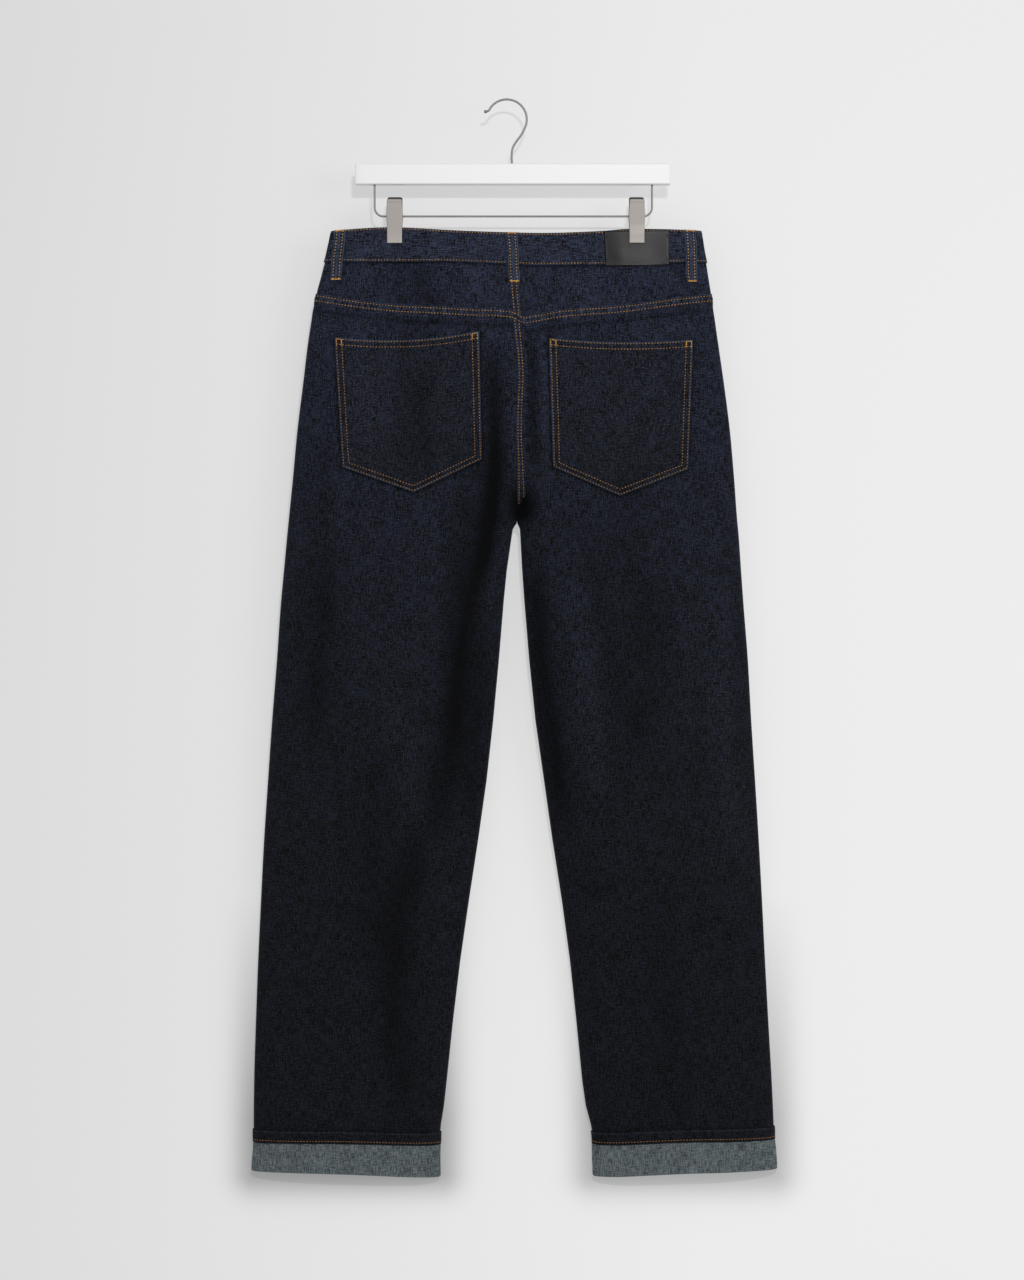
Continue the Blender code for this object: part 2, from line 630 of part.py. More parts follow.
def make_band(name, face, low_x, high_x, count, denim):
    """Waistband strip between two x values; None stands for a side seam."""
    rows = []
    for share in (0.0, 1 / 3, 2 / 3, 1.0):
        level = BAND_HEIGHT * share
        low = outer_edge("left", level) if low_x is None else low_x
        high = outer_edge("right", level) if high_x is None else high_x
        x = band_columns(low, high, low_x is None, high_x is None, count)
        top, seam = (along(WAIST_EDGE, "drop", x), along(BAND_SEAM, "drop", x)) if face == "back" else (
            front_edge_drop(x), front_seam_drop(x))
        rows.append((x, top + (seam - SEAM_GAP / 2 - top) * share))
    x, drop = np.array([row[0] for row in rows]), np.array([row[1] for row in rows])
    x, drop, normal, points = band_surface(x, drop, face, low_x is None, high_x is None)
    outside = moved_out(points, normal, np.full(x.shape, BAND_PROUD))
    inside = moved_out(points, normal, np.full(x.shape, BAND_PROUD - BAND_WALL))
    wall(name, outside, inside, denim)


def band_surface(x, drop, face, low_edge, high_edge):
    """The form under a strip that crosses the centre line, with its sideways ends at the seams."""
    if low_edge:
        x[:, :len(EDGE_STEPS)] = outer_edge("left", drop[:, :1]) + np.array(EDGE_STEPS)
    if high_edge:
        x[:, -len(EDGE_STEPS):] = outer_edge("right", drop[:, -1:]) - np.array(EDGE_STEPS)[::-1]
    depth = np.where(x < seam_x(face, drop), half_depth(x, drop, "left", face), half_depth(x, drop, "right", face))
    y = FACE[face] * (SEAM_GAP / 2 + depth)
    across, out = np.gradient(x, axis=1), np.gradient(y, axis=1)
    length = np.hypot(across, out)
    normal = np.stack((-out * FACE[face] / length, across * FACE[face] / length), axis=-1)
    if low_edge:
        normal[:, 0] = (-1, 0)
    if high_edge:
        normal[:, -1] = (1, 0)
    return x, drop, normal, np.stack((x, y, drop), axis=-1)


def make_bands(denim):
    make_band("waistband_back", "back", None, None, 34, denim)
    make_band("waistband_front_left", "front", None, FLY_OVERLAP_X - SEAM_GAP, 18, denim)
    make_band("waistband_front_right", "front", FLY_OVERLAP_X, None, 15, denim)


def turnup_columns(leg, face, drop):
    """Every other column of the leg's panel, with all of those near its edges."""
    full = np.full(BACK_COLUMN_COUNT, float(drop))
    return back_columns(leg, full) if face == "back" else np.interp(
        np.arange(BACK_COLUMN_COUNT), np.linspace(0, BACK_COLUMN_COUNT - 1, FRONT_COLUMN_COUNT),
        front_columns(leg, np.full(FRONT_COLUMN_COUNT, float(drop))))


# Profiles of the turned-up hem: distance out from the leg's outer face, and height above the fold.
Turn = namedtuple("Turn", "out height")
TURNUP_OUTSIDE = (Turn(-1.4, 2.6), Turn(-1.3, 0.9), Turn(-0.4, 0.1), Turn(0.7, 0.0),
                  Turn(1.8, 0.7), Turn(2.3, 2.2), Turn(2.3, 26.0), Turn(2.1, 51.5))
TURNUP_INSIDE = (Turn(-0.1, 2.6), Turn(-0.1, 1.9), Turn(0.15, 1.5), Turn(0.5, 1.45),
                 Turn(0.8, 1.7), Turn(0.9, 2.4), Turn(0.9, 26.0), Turn(0.7, 51.5))
BAND_OUTSIDE = (Turn(2.9, 37.0), Turn(3.8, 38.0), Turn(3.8, 52.0), Turn(2.9, 53.0))
BAND_INSIDE = (Turn(2.6, 37.2), Turn(2.6, 38.4), Turn(2.6, 51.6), Turn(2.6, 52.8))


def profile_grid(leg, face, profile):
    """A profile carried round a leg: each point is moved out from the form at its own height."""
    rows = []
    for turn in profile:
        drop = np.full(BACK_COLUMN_COUNT, HEM_FOLD - turn.height)
        x = np.array([turnup_columns(leg, face, drop[0])])
        points, normal = surface(x, drop[None], leg, face)
        rows.append(moved_out(points, normal, np.full(x.shape, turn.out))[0])
    return np.array(rows)


def make_turnup(leg, face, reverse, denim):
    label = leg + "_" + face
    wall("turnup_" + label, profile_grid(leg, face, TURNUP_OUTSIDE), profile_grid(leg, face, TURNUP_INSIDE), reverse)
    wall("hem_band_" + label, profile_grid(leg, face, BAND_OUTSIDE), profile_grid(leg, face, BAND_INSIDE), denim)


def make_loop(loop, denim):
    """Belt loop: fixed at both ends, standing a little off the waistband between them."""
    count = len(LOOP_LIFT)
    share = np.linspace(0, 1, count)[:, None]
    across = np.linspace(-LOOP_WIDTH / 2, LOOP_WIDTH / 2, 4)[None, :]
    x = loop.top_x + (loop.low_x - loop.top_x) * share + across
    edge = along(WAIST_EDGE, "drop", x) if loop.face == "back" else front_edge_drop(x)
    top = edge + 0.3
    drop = top + (loop.low_drop - top) * share
    x, drop, normal, points = band_surface(x, drop, loop.face, False, False)
    lift = np.array(LOOP_LIFT)[:, None] + np.zeros_like(x)
    wall(loop.name, moved_out(points, normal, lift + LOOP_WALL), moved_out(points, normal, lift), denim)


def make_patch(leather):
    """Leather label sewn over the waistband, its lower edge just past the seam."""
    x = np.linspace(PATCH_LEFT_X, PATCH_RIGHT_X, 9)[None, :] + np.zeros((4, 1))
    drop = np.linspace(PATCH_TOP, PATCH_LOW, 4)[:, None] + np.zeros_like(x)
    x, drop, normal, points = band_surface(x, drop, "back", False, False)
    lift = np.full(x.shape, BAND_PROUD + PATCH_GAP)
    wall("leather_patch", moved_out(points, normal, lift + PATCH_WALL), moved_out(points, normal, lift), leather)


def make_button(metal):
    """Shank button: a domed cap on a short stem, on the front waistband."""
    x = FRONT_SEAM_X + 2.0
    drop = (front_edge_drop(np.array(x)) + front_seam_drop(np.array(x))) / 2
    face_y = SEAM_GAP / 2 + half_depth(x, drop, "right", "front") + BAND_PROUD + BUTTON_GAP
    profile = [(0, 4.6), (BUTTON_RADIUS * 0.6, 4.5), (BUTTON_RADIUS - 1.0, 4.2), (BUTTON_RADIUS, 3.4),
               (BUTTON_RADIUS - 0.3, 2.4), (3.0, 1.9), (3.0, 0.0), (0, 0.0)]
    place = (CENTRE_X + x, float(face_y), WAIST_Z - float(drop))
    turned("waist_button", profile, place, (math.radians(-90), 0, 0), metal)


# ---------------------------------------------------------------- hanger
def make_hanger(paint, steel):
    bpy.ops.mesh.primitive_cube_add(size=1)
    bar = bpy.context.active_object
    bar.name = bar.data.name = "hanger_bar"
    bar.scale = [value * MM for value in BAR_SIZE]
    bpy.ops.object.transform_apply(location=False, rotation=False, scale=True)
    bar.location = (BAR_X * MM, 0, (BAR_TOP_Z - BAR_SIZE[2] / 2) * MM)
    bevel = bar.modifiers.new("rounded edges", "BEVEL")
    bevel.width = 1.5 * MM
    bevel.segments = 2
    collected(bar, paint)

    # The crest's inside is the origin; below the arc the wire leans in to the stem.
    centre = (0.5, HOOK_WIRE / 2 - HOOK_RADIUS)
    tip, before_tip = (-22.0, 0.0, -12.4), (-20.9, 0.0, -12.2)
    hook = [tip, before_tip] + arc(centre, HOOK_RADIUS, 153, -28, 16)
    hook += [(17.2, 0.0, -38.4), (13.2, 0.0, -43.9), (9.7, 0.0, -48.9), (7.4, 0.0, -53.4),
             (STEM_X, 0.0, -58.0), (STEM_X, 0.0, BAR_TOP_Z + SEAM_GAP)]
    wire("hanger_hook", hook, HOOK_WIRE, steel)
    bpy.ops.mesh.primitive_uv_sphere_add(segments=10, ring_count=6, radius=HOOK_TIP_RADIUS * MM)
    ball = bpy.context.active_object
    ball.name = ball.data.name = "hook_tip"
    direction = (tip[0] - before_tip[0], tip[2] - before_tip[2])
    reach = (HOOK_TIP_RADIUS + SEAM_GAP) / math.hypot(*direction)
    ball.location = ((tip[0] + direction[0] * reach) * MM, 0, (tip[2] + direction[1] * reach) * MM)
    collected(ball, steel)

    under_bar = BAR_TOP_Z - BAR_SIZE[2] - SEAM_GAP
    corner_z = RAIL_Z + RAIL_BEND
    rail = [(RAIL_LEFT_X, 0.0, under_bar), (RAIL_LEFT_X, 0.0, (under_bar + corner_z) / 2)]
    rail += arc((RAIL_LEFT_X + RAIL_BEND, corner_z), RAIL_BEND, 180, 270, 6)
    rail += [(x, 0.0, RAIL_Z) for x in (-60.0, 8.0, 75.0)]
    rail += arc((RAIL_RIGHT_X - RAIL_BEND, corner_z), RAIL_BEND, 270, 360, 6)
    rail += [(RAIL_RIGHT_X, 0.0, (under_bar + corner_z) / 2), (RAIL_RIGHT_X, 0.0, under_bar)]
    wire("hanger_rail", rail, RAIL_WIRE, steel)


# Side view of a clip's jaw: height above the jaw's lower edge, and distance out of its inner face
# from where the jaw grips.
Jaw = namedtuple("Jaw", "height out")
JAW_PROFILE = (Jaw(0.0, 0.5), Jaw(1.2, 0.0), Jaw(9.0, 0.0), Jaw(15.0, 1.2), Jaw(22.0, 2.9), Jaw(28.0, 3.1),
               Jaw(34.0, 3.1), Jaw(42.0, 4.0), Jaw(49.5, 5.6), Jaw(51.0, 6.6))
SPRING_BORE, SPRING_LENGTH = 1.5, 11.0


def make_clip(side, steel):
    """Two sprung jaws on a barrel that slides along the rail wire."""
    grip_front = SEAM_GAP / 2 + PINCHED_DEPTH + BAND_PROUD + SEAM_GAP
    over_patch = PATCH_WALL + PATCH_GAP if side == "right" else 0.0
    grips = {"back": grip_front + over_patch, "front": grip_front}
    # The barrel fills the room between the jaws at the wire's height.
    wire_height = RAIL_Z - CLIP_BOTTOM_Z
    for face, grip in grips.items():
        heights = np.array([row.height for row in JAW_PROFILE])
        out = np.array([row.out for row in JAW_PROFILE])
        rise = grip + out - (over_patch if face == "back" else 0.0) * smooth((heights - 9.0) / 13.0)
        drop = WAIST_Z - (CLIP_BOTTOM_Z + heights)
        taper = CLIP_WIDTH_JAW + (CLIP_WIDTH_TOP - CLIP_WIDTH_JAW) * heights / heights[-1]
        x = CLIP_X[side] + np.linspace(-0.5, 0.5, 3)[None, :] * taper[:, None]
        slope = np.gradient(rise, heights)
        tilt = 1 / np.sqrt(1 + slope**2)
        inner = np.stack((x, FACE[face] * (rise[:, None] + 0 * x), drop[:, None] + 0 * x), axis=-1)
        outer = inner.copy()
        outer[..., 1] += (FACE[face] * CLIP_SHEET * tilt)[:, None]
        outer[..., 2] += (CLIP_SHEET * slope * tilt)[:, None]
        wall("clip_" + side + "_" + face, outer, inner, steel)
    jaw_out = float(np.interp(wire_height, [row.height for row in JAW_PROFILE], [row.out for row in JAW_PROFILE]))
    barrel = grip_front + jaw_out - SEAM_GAP
    half = SPRING_LENGTH / 2
    profile = [(SPRING_BORE, -half), (SPRING_BORE, half), (barrel, half), (barrel, -half), (SPRING_BORE, -half)]
    place = (CENTRE_X + CLIP_X[side], 0.0, RAIL_Z)
    turned("clip_" + side + "_spring", profile, place, (0, math.radians(90), 0), steel, steps=14)


# ---------------------------------------------------------------- the whole object
def main():
    for thing in list(bpy.data.objects):
        bpy.data.objects.remove(thing)
    jeans = bpy.data.collections.new("straight_leg_jeans")
    bpy.context.scene.collection.children.link(jeans)

    denim = material("indigo denim", (0.016, 0.021, 0.042), 0.85)
    reverse = material("denim reverse", (0.16, 0.20, 0.22), 0.9)
    leather = material("black leather", (0.026, 0.026, 0.028), 0.5)
    button_metal = material("antique metal", (0.30, 0.22, 0.15), 0.4, 1.0)
    paint = material("white paint", (0.85, 0.85, 0.85), 0.4)
    steel = material("brushed steel", (0.55, 0.53, 0.51), 0.35, 1.0)

    for leg in SIDE:
        make_back(leg, denim)
        make_yoke(leg, denim)
        make_front(leg, denim)
        make_facing(leg, denim)
        for face in FACE:
            make_turnup(leg, face, reverse, denim)
        make_clip(leg, steel)
    make_bands(denim)
    for loop in LOOPS:
        make_loop(loop, denim)
    make_patch(leather)
    make_button(button_metal)
    make_hanger(paint, steel)


main()
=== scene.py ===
# Straight leg jeans with turned-up hems, hung by the waist on a clip hanger.
# On the cloth, x runs across from the centre line and drop runs down from the waist line, in millimetres.
# halfDepth() gives how far the cloth's outer face stands from the middle plane, and every cloth piece
# is a grid of x, drop and lift laid on that form. The garment's back faces -Y.

import math

import bpy
import numpy as np
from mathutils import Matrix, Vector


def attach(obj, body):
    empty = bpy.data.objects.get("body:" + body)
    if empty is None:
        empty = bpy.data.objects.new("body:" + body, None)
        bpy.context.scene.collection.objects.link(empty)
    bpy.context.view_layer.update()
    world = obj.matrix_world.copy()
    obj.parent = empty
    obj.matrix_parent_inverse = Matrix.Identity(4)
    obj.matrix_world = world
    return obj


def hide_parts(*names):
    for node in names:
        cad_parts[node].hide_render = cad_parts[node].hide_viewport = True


mm = 0.001
sideSign = {"left": -1, "right": 1}
faceSign = {"back": -1, "front": 1}
random = np.random.default_rng(7)

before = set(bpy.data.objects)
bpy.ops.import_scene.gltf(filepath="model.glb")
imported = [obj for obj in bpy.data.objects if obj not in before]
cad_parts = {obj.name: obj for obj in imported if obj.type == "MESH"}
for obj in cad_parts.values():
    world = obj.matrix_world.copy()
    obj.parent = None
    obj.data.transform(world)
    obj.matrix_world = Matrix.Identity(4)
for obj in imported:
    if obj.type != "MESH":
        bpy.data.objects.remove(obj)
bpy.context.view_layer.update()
print("frame loaded:", len(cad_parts), "nodes")

# The garment's form, in millimetres.

form = {
    "centreX": 8.0, "waistZ": -147.5, "seamGap": 0.3, "cloth": 1.4, "edgeRadius": 2.6,
    "back": 1.1, "front": 0.9,  # the seat is fuller than the front
    "crotch": 330.0, "closingStart": 205.0, "closingPower": 2.3, "frontSeamX": 4.0,
    "frontDip": 15.0, "legShort": 3.0, "pinchedDepth": 2.0,
    "clipX": (-134.2, 139.4), "pinchFlat": 13.0, "pinchWidth": 34.0,
    "pinchDropFlat": 18.0, "pinchDrop": 48.0, "foldEdgeFade": 20.0, "swellStart": 60.0,
}

outline = {
    "drop": (0, 35, 78, 119, 173, 227, 281, 330, 336, 383, 417, 485, 553, 620, 688, 756, 824, 892, 959, 988,
             1009, 1022, 1066),
    "leftOuter": (-205.5, -213.0, -224.0, -231.0, -237.7, -244.3, -249.3, -254.2, -254.8, -259.2, -262.4,
                  -267.2, -272.6, -277.2, -281.7, -285.2, -288.4, -290.9, -292.9, -293.3, -293.4, -293.2,
                  -292.8),
    "leftInner": (3.9, 3.9, 3.9, 3.9, 3.9, 3.9, 3.9, 3.85, -0.6, -7.4, -10.8,
                  -16.4, -22.8, -30.2, -39.8, -50.2, -60.0, -68.2, -75.2, -78.4, -81.8, -83.0, -83.0),
    "rightInner": (4.1, 4.1, 4.1, 4.1, 4.1, 4.1, 4.1, 4.15, 7.3, 9.8, 12.2,
                   17.8, 24.8, 34.4, 44.0, 54.6, 63.8, 71.0, 77.6, 81.7, 87.4, 89.6, 90.4),
    "rightOuter": (212.0, 217.5, 224.4, 230.2, 238.0, 244.8, 249.5, 253.2, 253.8, 257.2, 259.6,
                   264.9, 268.7, 273.0, 277.2, 280.9, 284.3, 288.0, 291.8, 293.2, 294.0, 294.4, 294.8),
}

depths = {
    "drop": (-5, 35, 78, 119, 173, 227, 281, 330, 417, 553, 688, 824, 959, 1066),
    "torso": (7.5, 11, 17, 21, 25, 28, 30, 31, 31, 29, 27, 24, 21, 20),
    "leg": (7.5, 9, 13, 17, 22, 25, 28, 29, 30, 28.5, 26, 23.5, 21, 20),
}

seatSeam = {"drop": (-5, 60, 100, 156, 212, 272, 306, 330), "x": (0, 0.8, 4.0, 7.0, 6.4, 7.4, 6.8, 4.0)}
waistEdge = {"x": (-206, -143, -125, -70, -7, 32, 103, 129, 150, 212),
             "drop": (0.2, -4.0, -3.8, 0.0, 2.5, 3.3, 0.2, -2.3, -2.3, 0.0)}
bandSeam = {"x": (-214, -73, -7, 9, 104, 178, 218), "drop": (33.0, 33.6, 36.6, 37.4, 36.6, 34.0, 33.9)}
yokeSeam = {"x": (-224, -173, -129, -82, -45, -16, 3, 10, 22, 47, 79, 116, 153, 191, 225),
            "drop": (76.4, 85.0, 89.9, 92.2, 94.6, 95.6, 98.9, 103.0, 102.0, 97.3, 93.8, 91.0, 86.2, 80.8,
                     76.4)}
hemEdge = {"x": (-294, -190, -84, 90, 112, 150, 200, 245, 294),
           "drop": (1060.6, 1062.0, 1067.4, 1066.6, 1066.2, 1063.6, 1061.0, 1060.2, 1058.7)}

# Broad folds and then finer creases of each face: height, width, path of (x, drop).
backFolds = (
    (-3.2, 13, ((-15, 190), (-17, 260), (-32, 360), (-49, 440), (-66, 530), (-76, 590), (-72, 650))),
    (2.4, 17, ((-150, 510), (-118, 620), (-80, 750))),
    (-2.0, 19, ((158, 365), (157, 530), (138, 590))),
    (-2.0, 12, ((55, 742), (88, 745), (125, 736))),
    (1.6, 14, ((-122, 30), (-108, 75), (-92, 120))),
    (1.5, 17, ((-165, 125), (-160, 250))),
    (-1.5, 15, ((-103, 150), (-106, 280))),
    (-4.2, 8, ((17, 100), (20, 150), (20, 215), (22, 290))),
    (1.6, 7, ((33, 120), (34, 190), (32, 262))),
    (-4.6, 11, ((-26, 112), (-22, 180), (-20, 250), (-26, 330), (-40, 420))),
    (-3.6, 12, ((16, 335), (24, 430), (34, 527), (46, 605), (54, 720))),
    (-2.6, 13, ((-22, 400), (-34, 500), (-44, 600), (-56, 700))),
    (2.4, 15, ((64, 330), (70, 420), (82, 540), (96, 660))),
    (2.0, 18, ((226, 330), (232, 450), (240, 600), (252, 760))),
    (-2.2, 20, ((-205, 340), (-214, 470), (-222, 600))),
    (2.0, 5, ((168, 36), (186, 54), (209, 72))),
    (-1.9, 4.5, ((176, 34), (193, 52), (213, 66))),
    (0.8, 5, ((212, 60), (226, 74))),
    (-2.6, 9, ((-118, 34), (-100, 74), (-80, 118))),
    (-0.7, 6, ((-176, 36), (-170, 60))),
    (-0.8, 6, ((-70, 318), (-38, 330), (-8, 322))),
    (0.7, 6, ((-80, 334), (-40, 347), (-12, 340))),
    (-0.8, 6, ((16, 334), (48, 346), (80, 340))),
    (0.9, 9, ((-34, 400), (-52, 480), (-70, 560))),
    (-0.8, 10, ((-210, 560), (-190, 650), (-150, 730))),
    (0.7, 9, ((82, 420), (92, 520), (88, 610))),
    (0.8, 11, ((60, 760), (100, 766), (150, 752))),
    (-0.9, 10, ((-240, 770), (-200, 764), (-150, 778))),
    (0.6, 9, ((-120, 845), (-160, 890), (-175, 960))),
    (-0.6, 10, ((150, 830), (190, 900), (200, 990))),
    (0.7, 12, ((230, 480), (222, 580), (228, 700))),
    (-0.7, 12, ((-232, 330), (-240, 430), (-250, 520))),
)
frontFolds = (
    (-3.0, 14, ((24, 210), (36, 300), (52, 400), (66, 520), (70, 610))),
    (-2.6, 13, ((-16, 220), (-34, 330), (-60, 430), (-96, 520))),
    (2.2, 18, ((150, 480), (120, 620), (86, 760))),
    (-2.2, 16, ((-60, 745), (-110, 730), (-160, 745))),
    (1.8, 15, ((128, 40), (104, 100), (70, 165))),
    (-1.4, 7, ((10, 120), (14, 200), (22, 280))),
    (0.9, 7, ((-30, 60), (-26, 130), (-14, 210))),
    (-1.0, 8, ((-40, 330), (-90, 345), (-140, 335))),
    (-1.0, 8, ((40, 330), (90, 348), (140, 338))),
    (0.8, 8, ((-60, 352), (-100, 366), (-150, 352))),
    (0.9, 9, ((-120, 560), (-100, 650), (-80, 720))),
    (-0.9, 10, ((170, 600), (196, 700), (200, 780))),
    (0.8, 11, ((60, 770), (110, 762), (160, 776))),
    (-0.7, 10, ((-200, 840), (-180, 920), (-186, 1000))),
    (0.7, 9, ((-150, 60), (-120, 96), (-100, 140))),
)
# Hollow where the seat seam runs into the crotch, and the painted shade that lies about it.
crotchHollow = {"x": 9.0, "drop": 311.0, "width": 11.0, "height": 18.0, "depth": 15.0, "mostOfDepth": 0.86,
                "darkWidth": 15.0, "darkHeight": 22.0, "dark": 2.6}
# How folds tell in the painted shade: millimetres of fold for one full step, and the darkest and palest step.
foldShadeSteps = {"foldStep": 4.0, "range": (-1.9, 1.0)}
swellTurn = {"back": 0.0, "front": 2.1}
# Painted shade along folds too shallow to shape, and painted pale streaks where the strength is positive:
# strength, width, path.
backShadows = (
    (-1.15, 21, ((-42, 180), (-46, 270), (-54, 370), (-60, 470), (-62, 560), (-76, 620), (-104, 690),
                 (-130, 770), (-134, 880), (-122, 980), (-118, 1090))),
    (-0.5, 24, ((-150, 520), (-146, 600), (-158, 690), (-160, 780), (-130, 860))),
    (-0.45, 16, ((-216, 200), (-214, 290), (-216, 400), (-224, 500), (-230, 620))),
    (-0.6, 20, ((76, 300), (92, 400), (112, 490), (134, 560), (126, 640))),
    (-0.5, 20, ((150, 230), (128, 320), (136, 410), (150, 520))),
    (-0.6, 13, ((22, 330), (30, 430), (40, 520), (50, 600), (64, 700))),
    (-0.4, 18, ((238, 330), (252, 420), (258, 520), (262, 640))),
    (-0.35, 26, ((150, 700), (170, 800), (175, 900), (168, 1060))),
    (-0.7, 25, ((-132, 10), (-112, 70), (-98, 130))),
    (0.35, 17, ((-174, 90), (-170, 200), (-170, 310))),
    (-0.4, 22, ((-104, 100), (-106, 190), (-110, 300))),
    (-0.4, 13, ((-24, 110), (-24, 190), (-28, 300))),
    (0.35, 14, ((-38, 20), (-36, 60), (-36, 100))),
    (0.35, 16, ((86, 40), (80, 75), (76, 110))),
    (-1.0, 3.0, ((164, 27), (175, 38), (190, 56), (203, 71), (212, 82))),
    (-0.7, 3.0, ((180, 41), (193, 51), (207, 61), (221, 71), (230, 78))),
    (0.6, 3.4, ((172, 26), (184, 42), (200, 58), (212, 72), (218, 78))),
)
folds = {"back": backFolds, "front": frontFolds}
shadows = {"back": backShadows, "front": ()}


def curve(table, key, column, at):
    # Cubic through a table's rows; each row's slope comes from its neighbours.
    knots, values = np.array(table[key], float), np.array(table[column], float)
    slopes = np.gradient(values, knots)
    at = np.clip(at, knots[0], knots[-1])
    i = np.clip(np.searchsorted(knots, at) - 1, 0, len(knots) - 2)
    span = knots[i + 1] - knots[i]
    s = (at - knots[i]) / span
    start = (2 * s**3 - 3 * s**2 + 1) * values[i] + (s**3 - 2 * s**2 + s) * span * slopes[i]
    return start + (3 * s**2 - 2 * s**3) * values[i + 1] + (s**3 - s**2) * span * slopes[i + 1]


def dropAt(seam, x):
    # Drop of a seam or edge at x, by curve().
    return curve(seam, "x", "drop", x)


def spread(table, at):
    # Straight interpolation in a table of (place, value).
    places, values = np.array(table, float).T
    return np.interp(at, places, values)


def smooth(value):
    # Smooth step: 3 s^2 - 2 s^3, with s kept between 0 and 1.
    s = np.clip(value, 0, 1)
    return s * s * (3 - 2 * s)


def bell(value):
    # 1 at the middle, falling as e to the minus square.
    return np.exp(-value**2)


def unit(vectors):
    # Vectors divided by their own lengths.
    return vectors / np.maximum(np.linalg.norm(vectors, axis=-1, keepdims=True), 1e-9)


def runLengths(points):
    # Length along a path at each of its points: the running sum of its steps.
    return np.concatenate(([0], np.cumsum(np.linalg.norm(np.diff(points, axis=0), axis=1))))


def seamX(face, drop):
    # Centre seam above the crotch: its table at the back, one straight line at the front.
    if face == "back":
        return curve(seatSeam, "drop", "x", drop)
    return np.full(np.shape(drop), form["frontSeamX"])


def outerEdge(leg, drop):
    # Side seam, by curve() through the outline.
    return curve(outline, "drop", leg + "Outer", drop)


def innerEdge(leg, face, drop):
    # Half a gap beside the centre seam down to the crotch, then the inseam from the outline.
    drop = np.asarray(drop, float)
    above = seamX(face, drop) + sideSign[leg] * form["seamGap"] / 2
    below = np.interp(drop, outline["drop"], outline[leg + "Inner"])
    return np.where(drop <= form["crotch"], above, below)


def lens(x, low, high, depth):
    # Half depth of a section: a quarter round at each edge added to a flat ellipse.
    half = (high - low) / 2
    t = np.clip(np.abs(x - (low + high) / 2) / half, 0, 1)
    fromEdge = np.clip(half * (1 - t) / form["edgeRadius"], 0, 1)
    rounding = form["edgeRadius"] * np.sqrt(np.clip(1 - (1 - fromEdge) ** 2, 0, 1))
    return rounding + (depth - form["edgeRadius"]) * np.sqrt(1 - t**2)


def closing(drop):
    # 0 where the torso is one section, 1 where it has parted into two legs.
    share = (drop - form["closingStart"]) / (form["crotch"] - form["closingStart"])
    return np.clip(share, 0, 1) ** form["closingPower"]


def pinch(x, drop):
    # 1 under the clips, fading to 0 around them.
    down = np.clip(drop - form["pinchDropFlat"], 0, None) / form["pinchDrop"]
    share = 0.0
    for clipX in form["clipX"]:
        across = np.clip(np.abs(x - clipX) - form["pinchFlat"], 0, None) / form["pinchWidth"]
        share = np.maximum(share, np.exp(-(across**2) - down**2))
    return share


def nearestOnPath(x, drop, path):
    # Distance from each place to a path of straight runs, and the share of the path's length reached there.
    path = np.array(path, float)
    lengths = runLengths(path)
    nearest, reached = np.full(x.shape, np.inf), np.zeros(x.shape)
    for start, end, before, after in zip(path[:-1], path[1:], lengths[:-1], lengths[1:]):
        run = end - start
        s = np.clip(((x - start[0]) * run[0] + (drop - start[1]) * run[1]) / (run @ run), 0, 1)
        distance = np.hypot(x - start[0] - s * run[0], drop - start[1] - s * run[1])
        closer = distance < nearest
        nearest = np.where(closer, distance, nearest)
        reached = np.where(closer, (before + s * (after - before)) / lengths[-1], reached)
    return nearest, reached


def foldHeight(x, drop, table):
    # Sum of bells across each fold's path, fading over its first and last quarter.
    total = np.zeros(x.shape)
    for height, width, path in table:
        nearest, reached = nearestOnPath(x, drop, path)
        total += height * smooth(reached * 4) * smooth((1 - reached) * 4) * bell(nearest / width)
    return total


def paintedFoldShade(x, drop, face):
    # Painted shade and light: from -1, dark, in a trough and along the painted shadows, to 1, pale, on a
    # ridge.
    worked = foldHeight(x, drop, folds[face]) / foldShadeSteps["foldStep"] + foldHeight(x, drop, shadows[face])
    if face == "back":
        across = (x - crotchHollow["x"]) / crotchHollow["darkWidth"]
        down = (drop - crotchHollow["drop"]) / crotchHollow["darkHeight"]
        worked = worked - crotchHollow["dark"] * bell(np.hypot(across, down))
    return np.clip(worked, *foldShadeSteps["range"])


def unevenness(x, drop, face):
    # Slow, low swells of hanging cloth, under half a millimetre: three crossed sines of unlike lengths.
    turn = swellTurn[face]
    swell = 0.24 * np.sin(x / 23 + 1.3 * np.sin(drop / 61 + turn) + turn)
    swell += 0.20 * np.sin(drop / 37 + 0.8 * np.sin(x / 41) + 2 * turn)
    return swell + 0.13 * np.sin((x + 0.6 * drop) / 17 + turn)


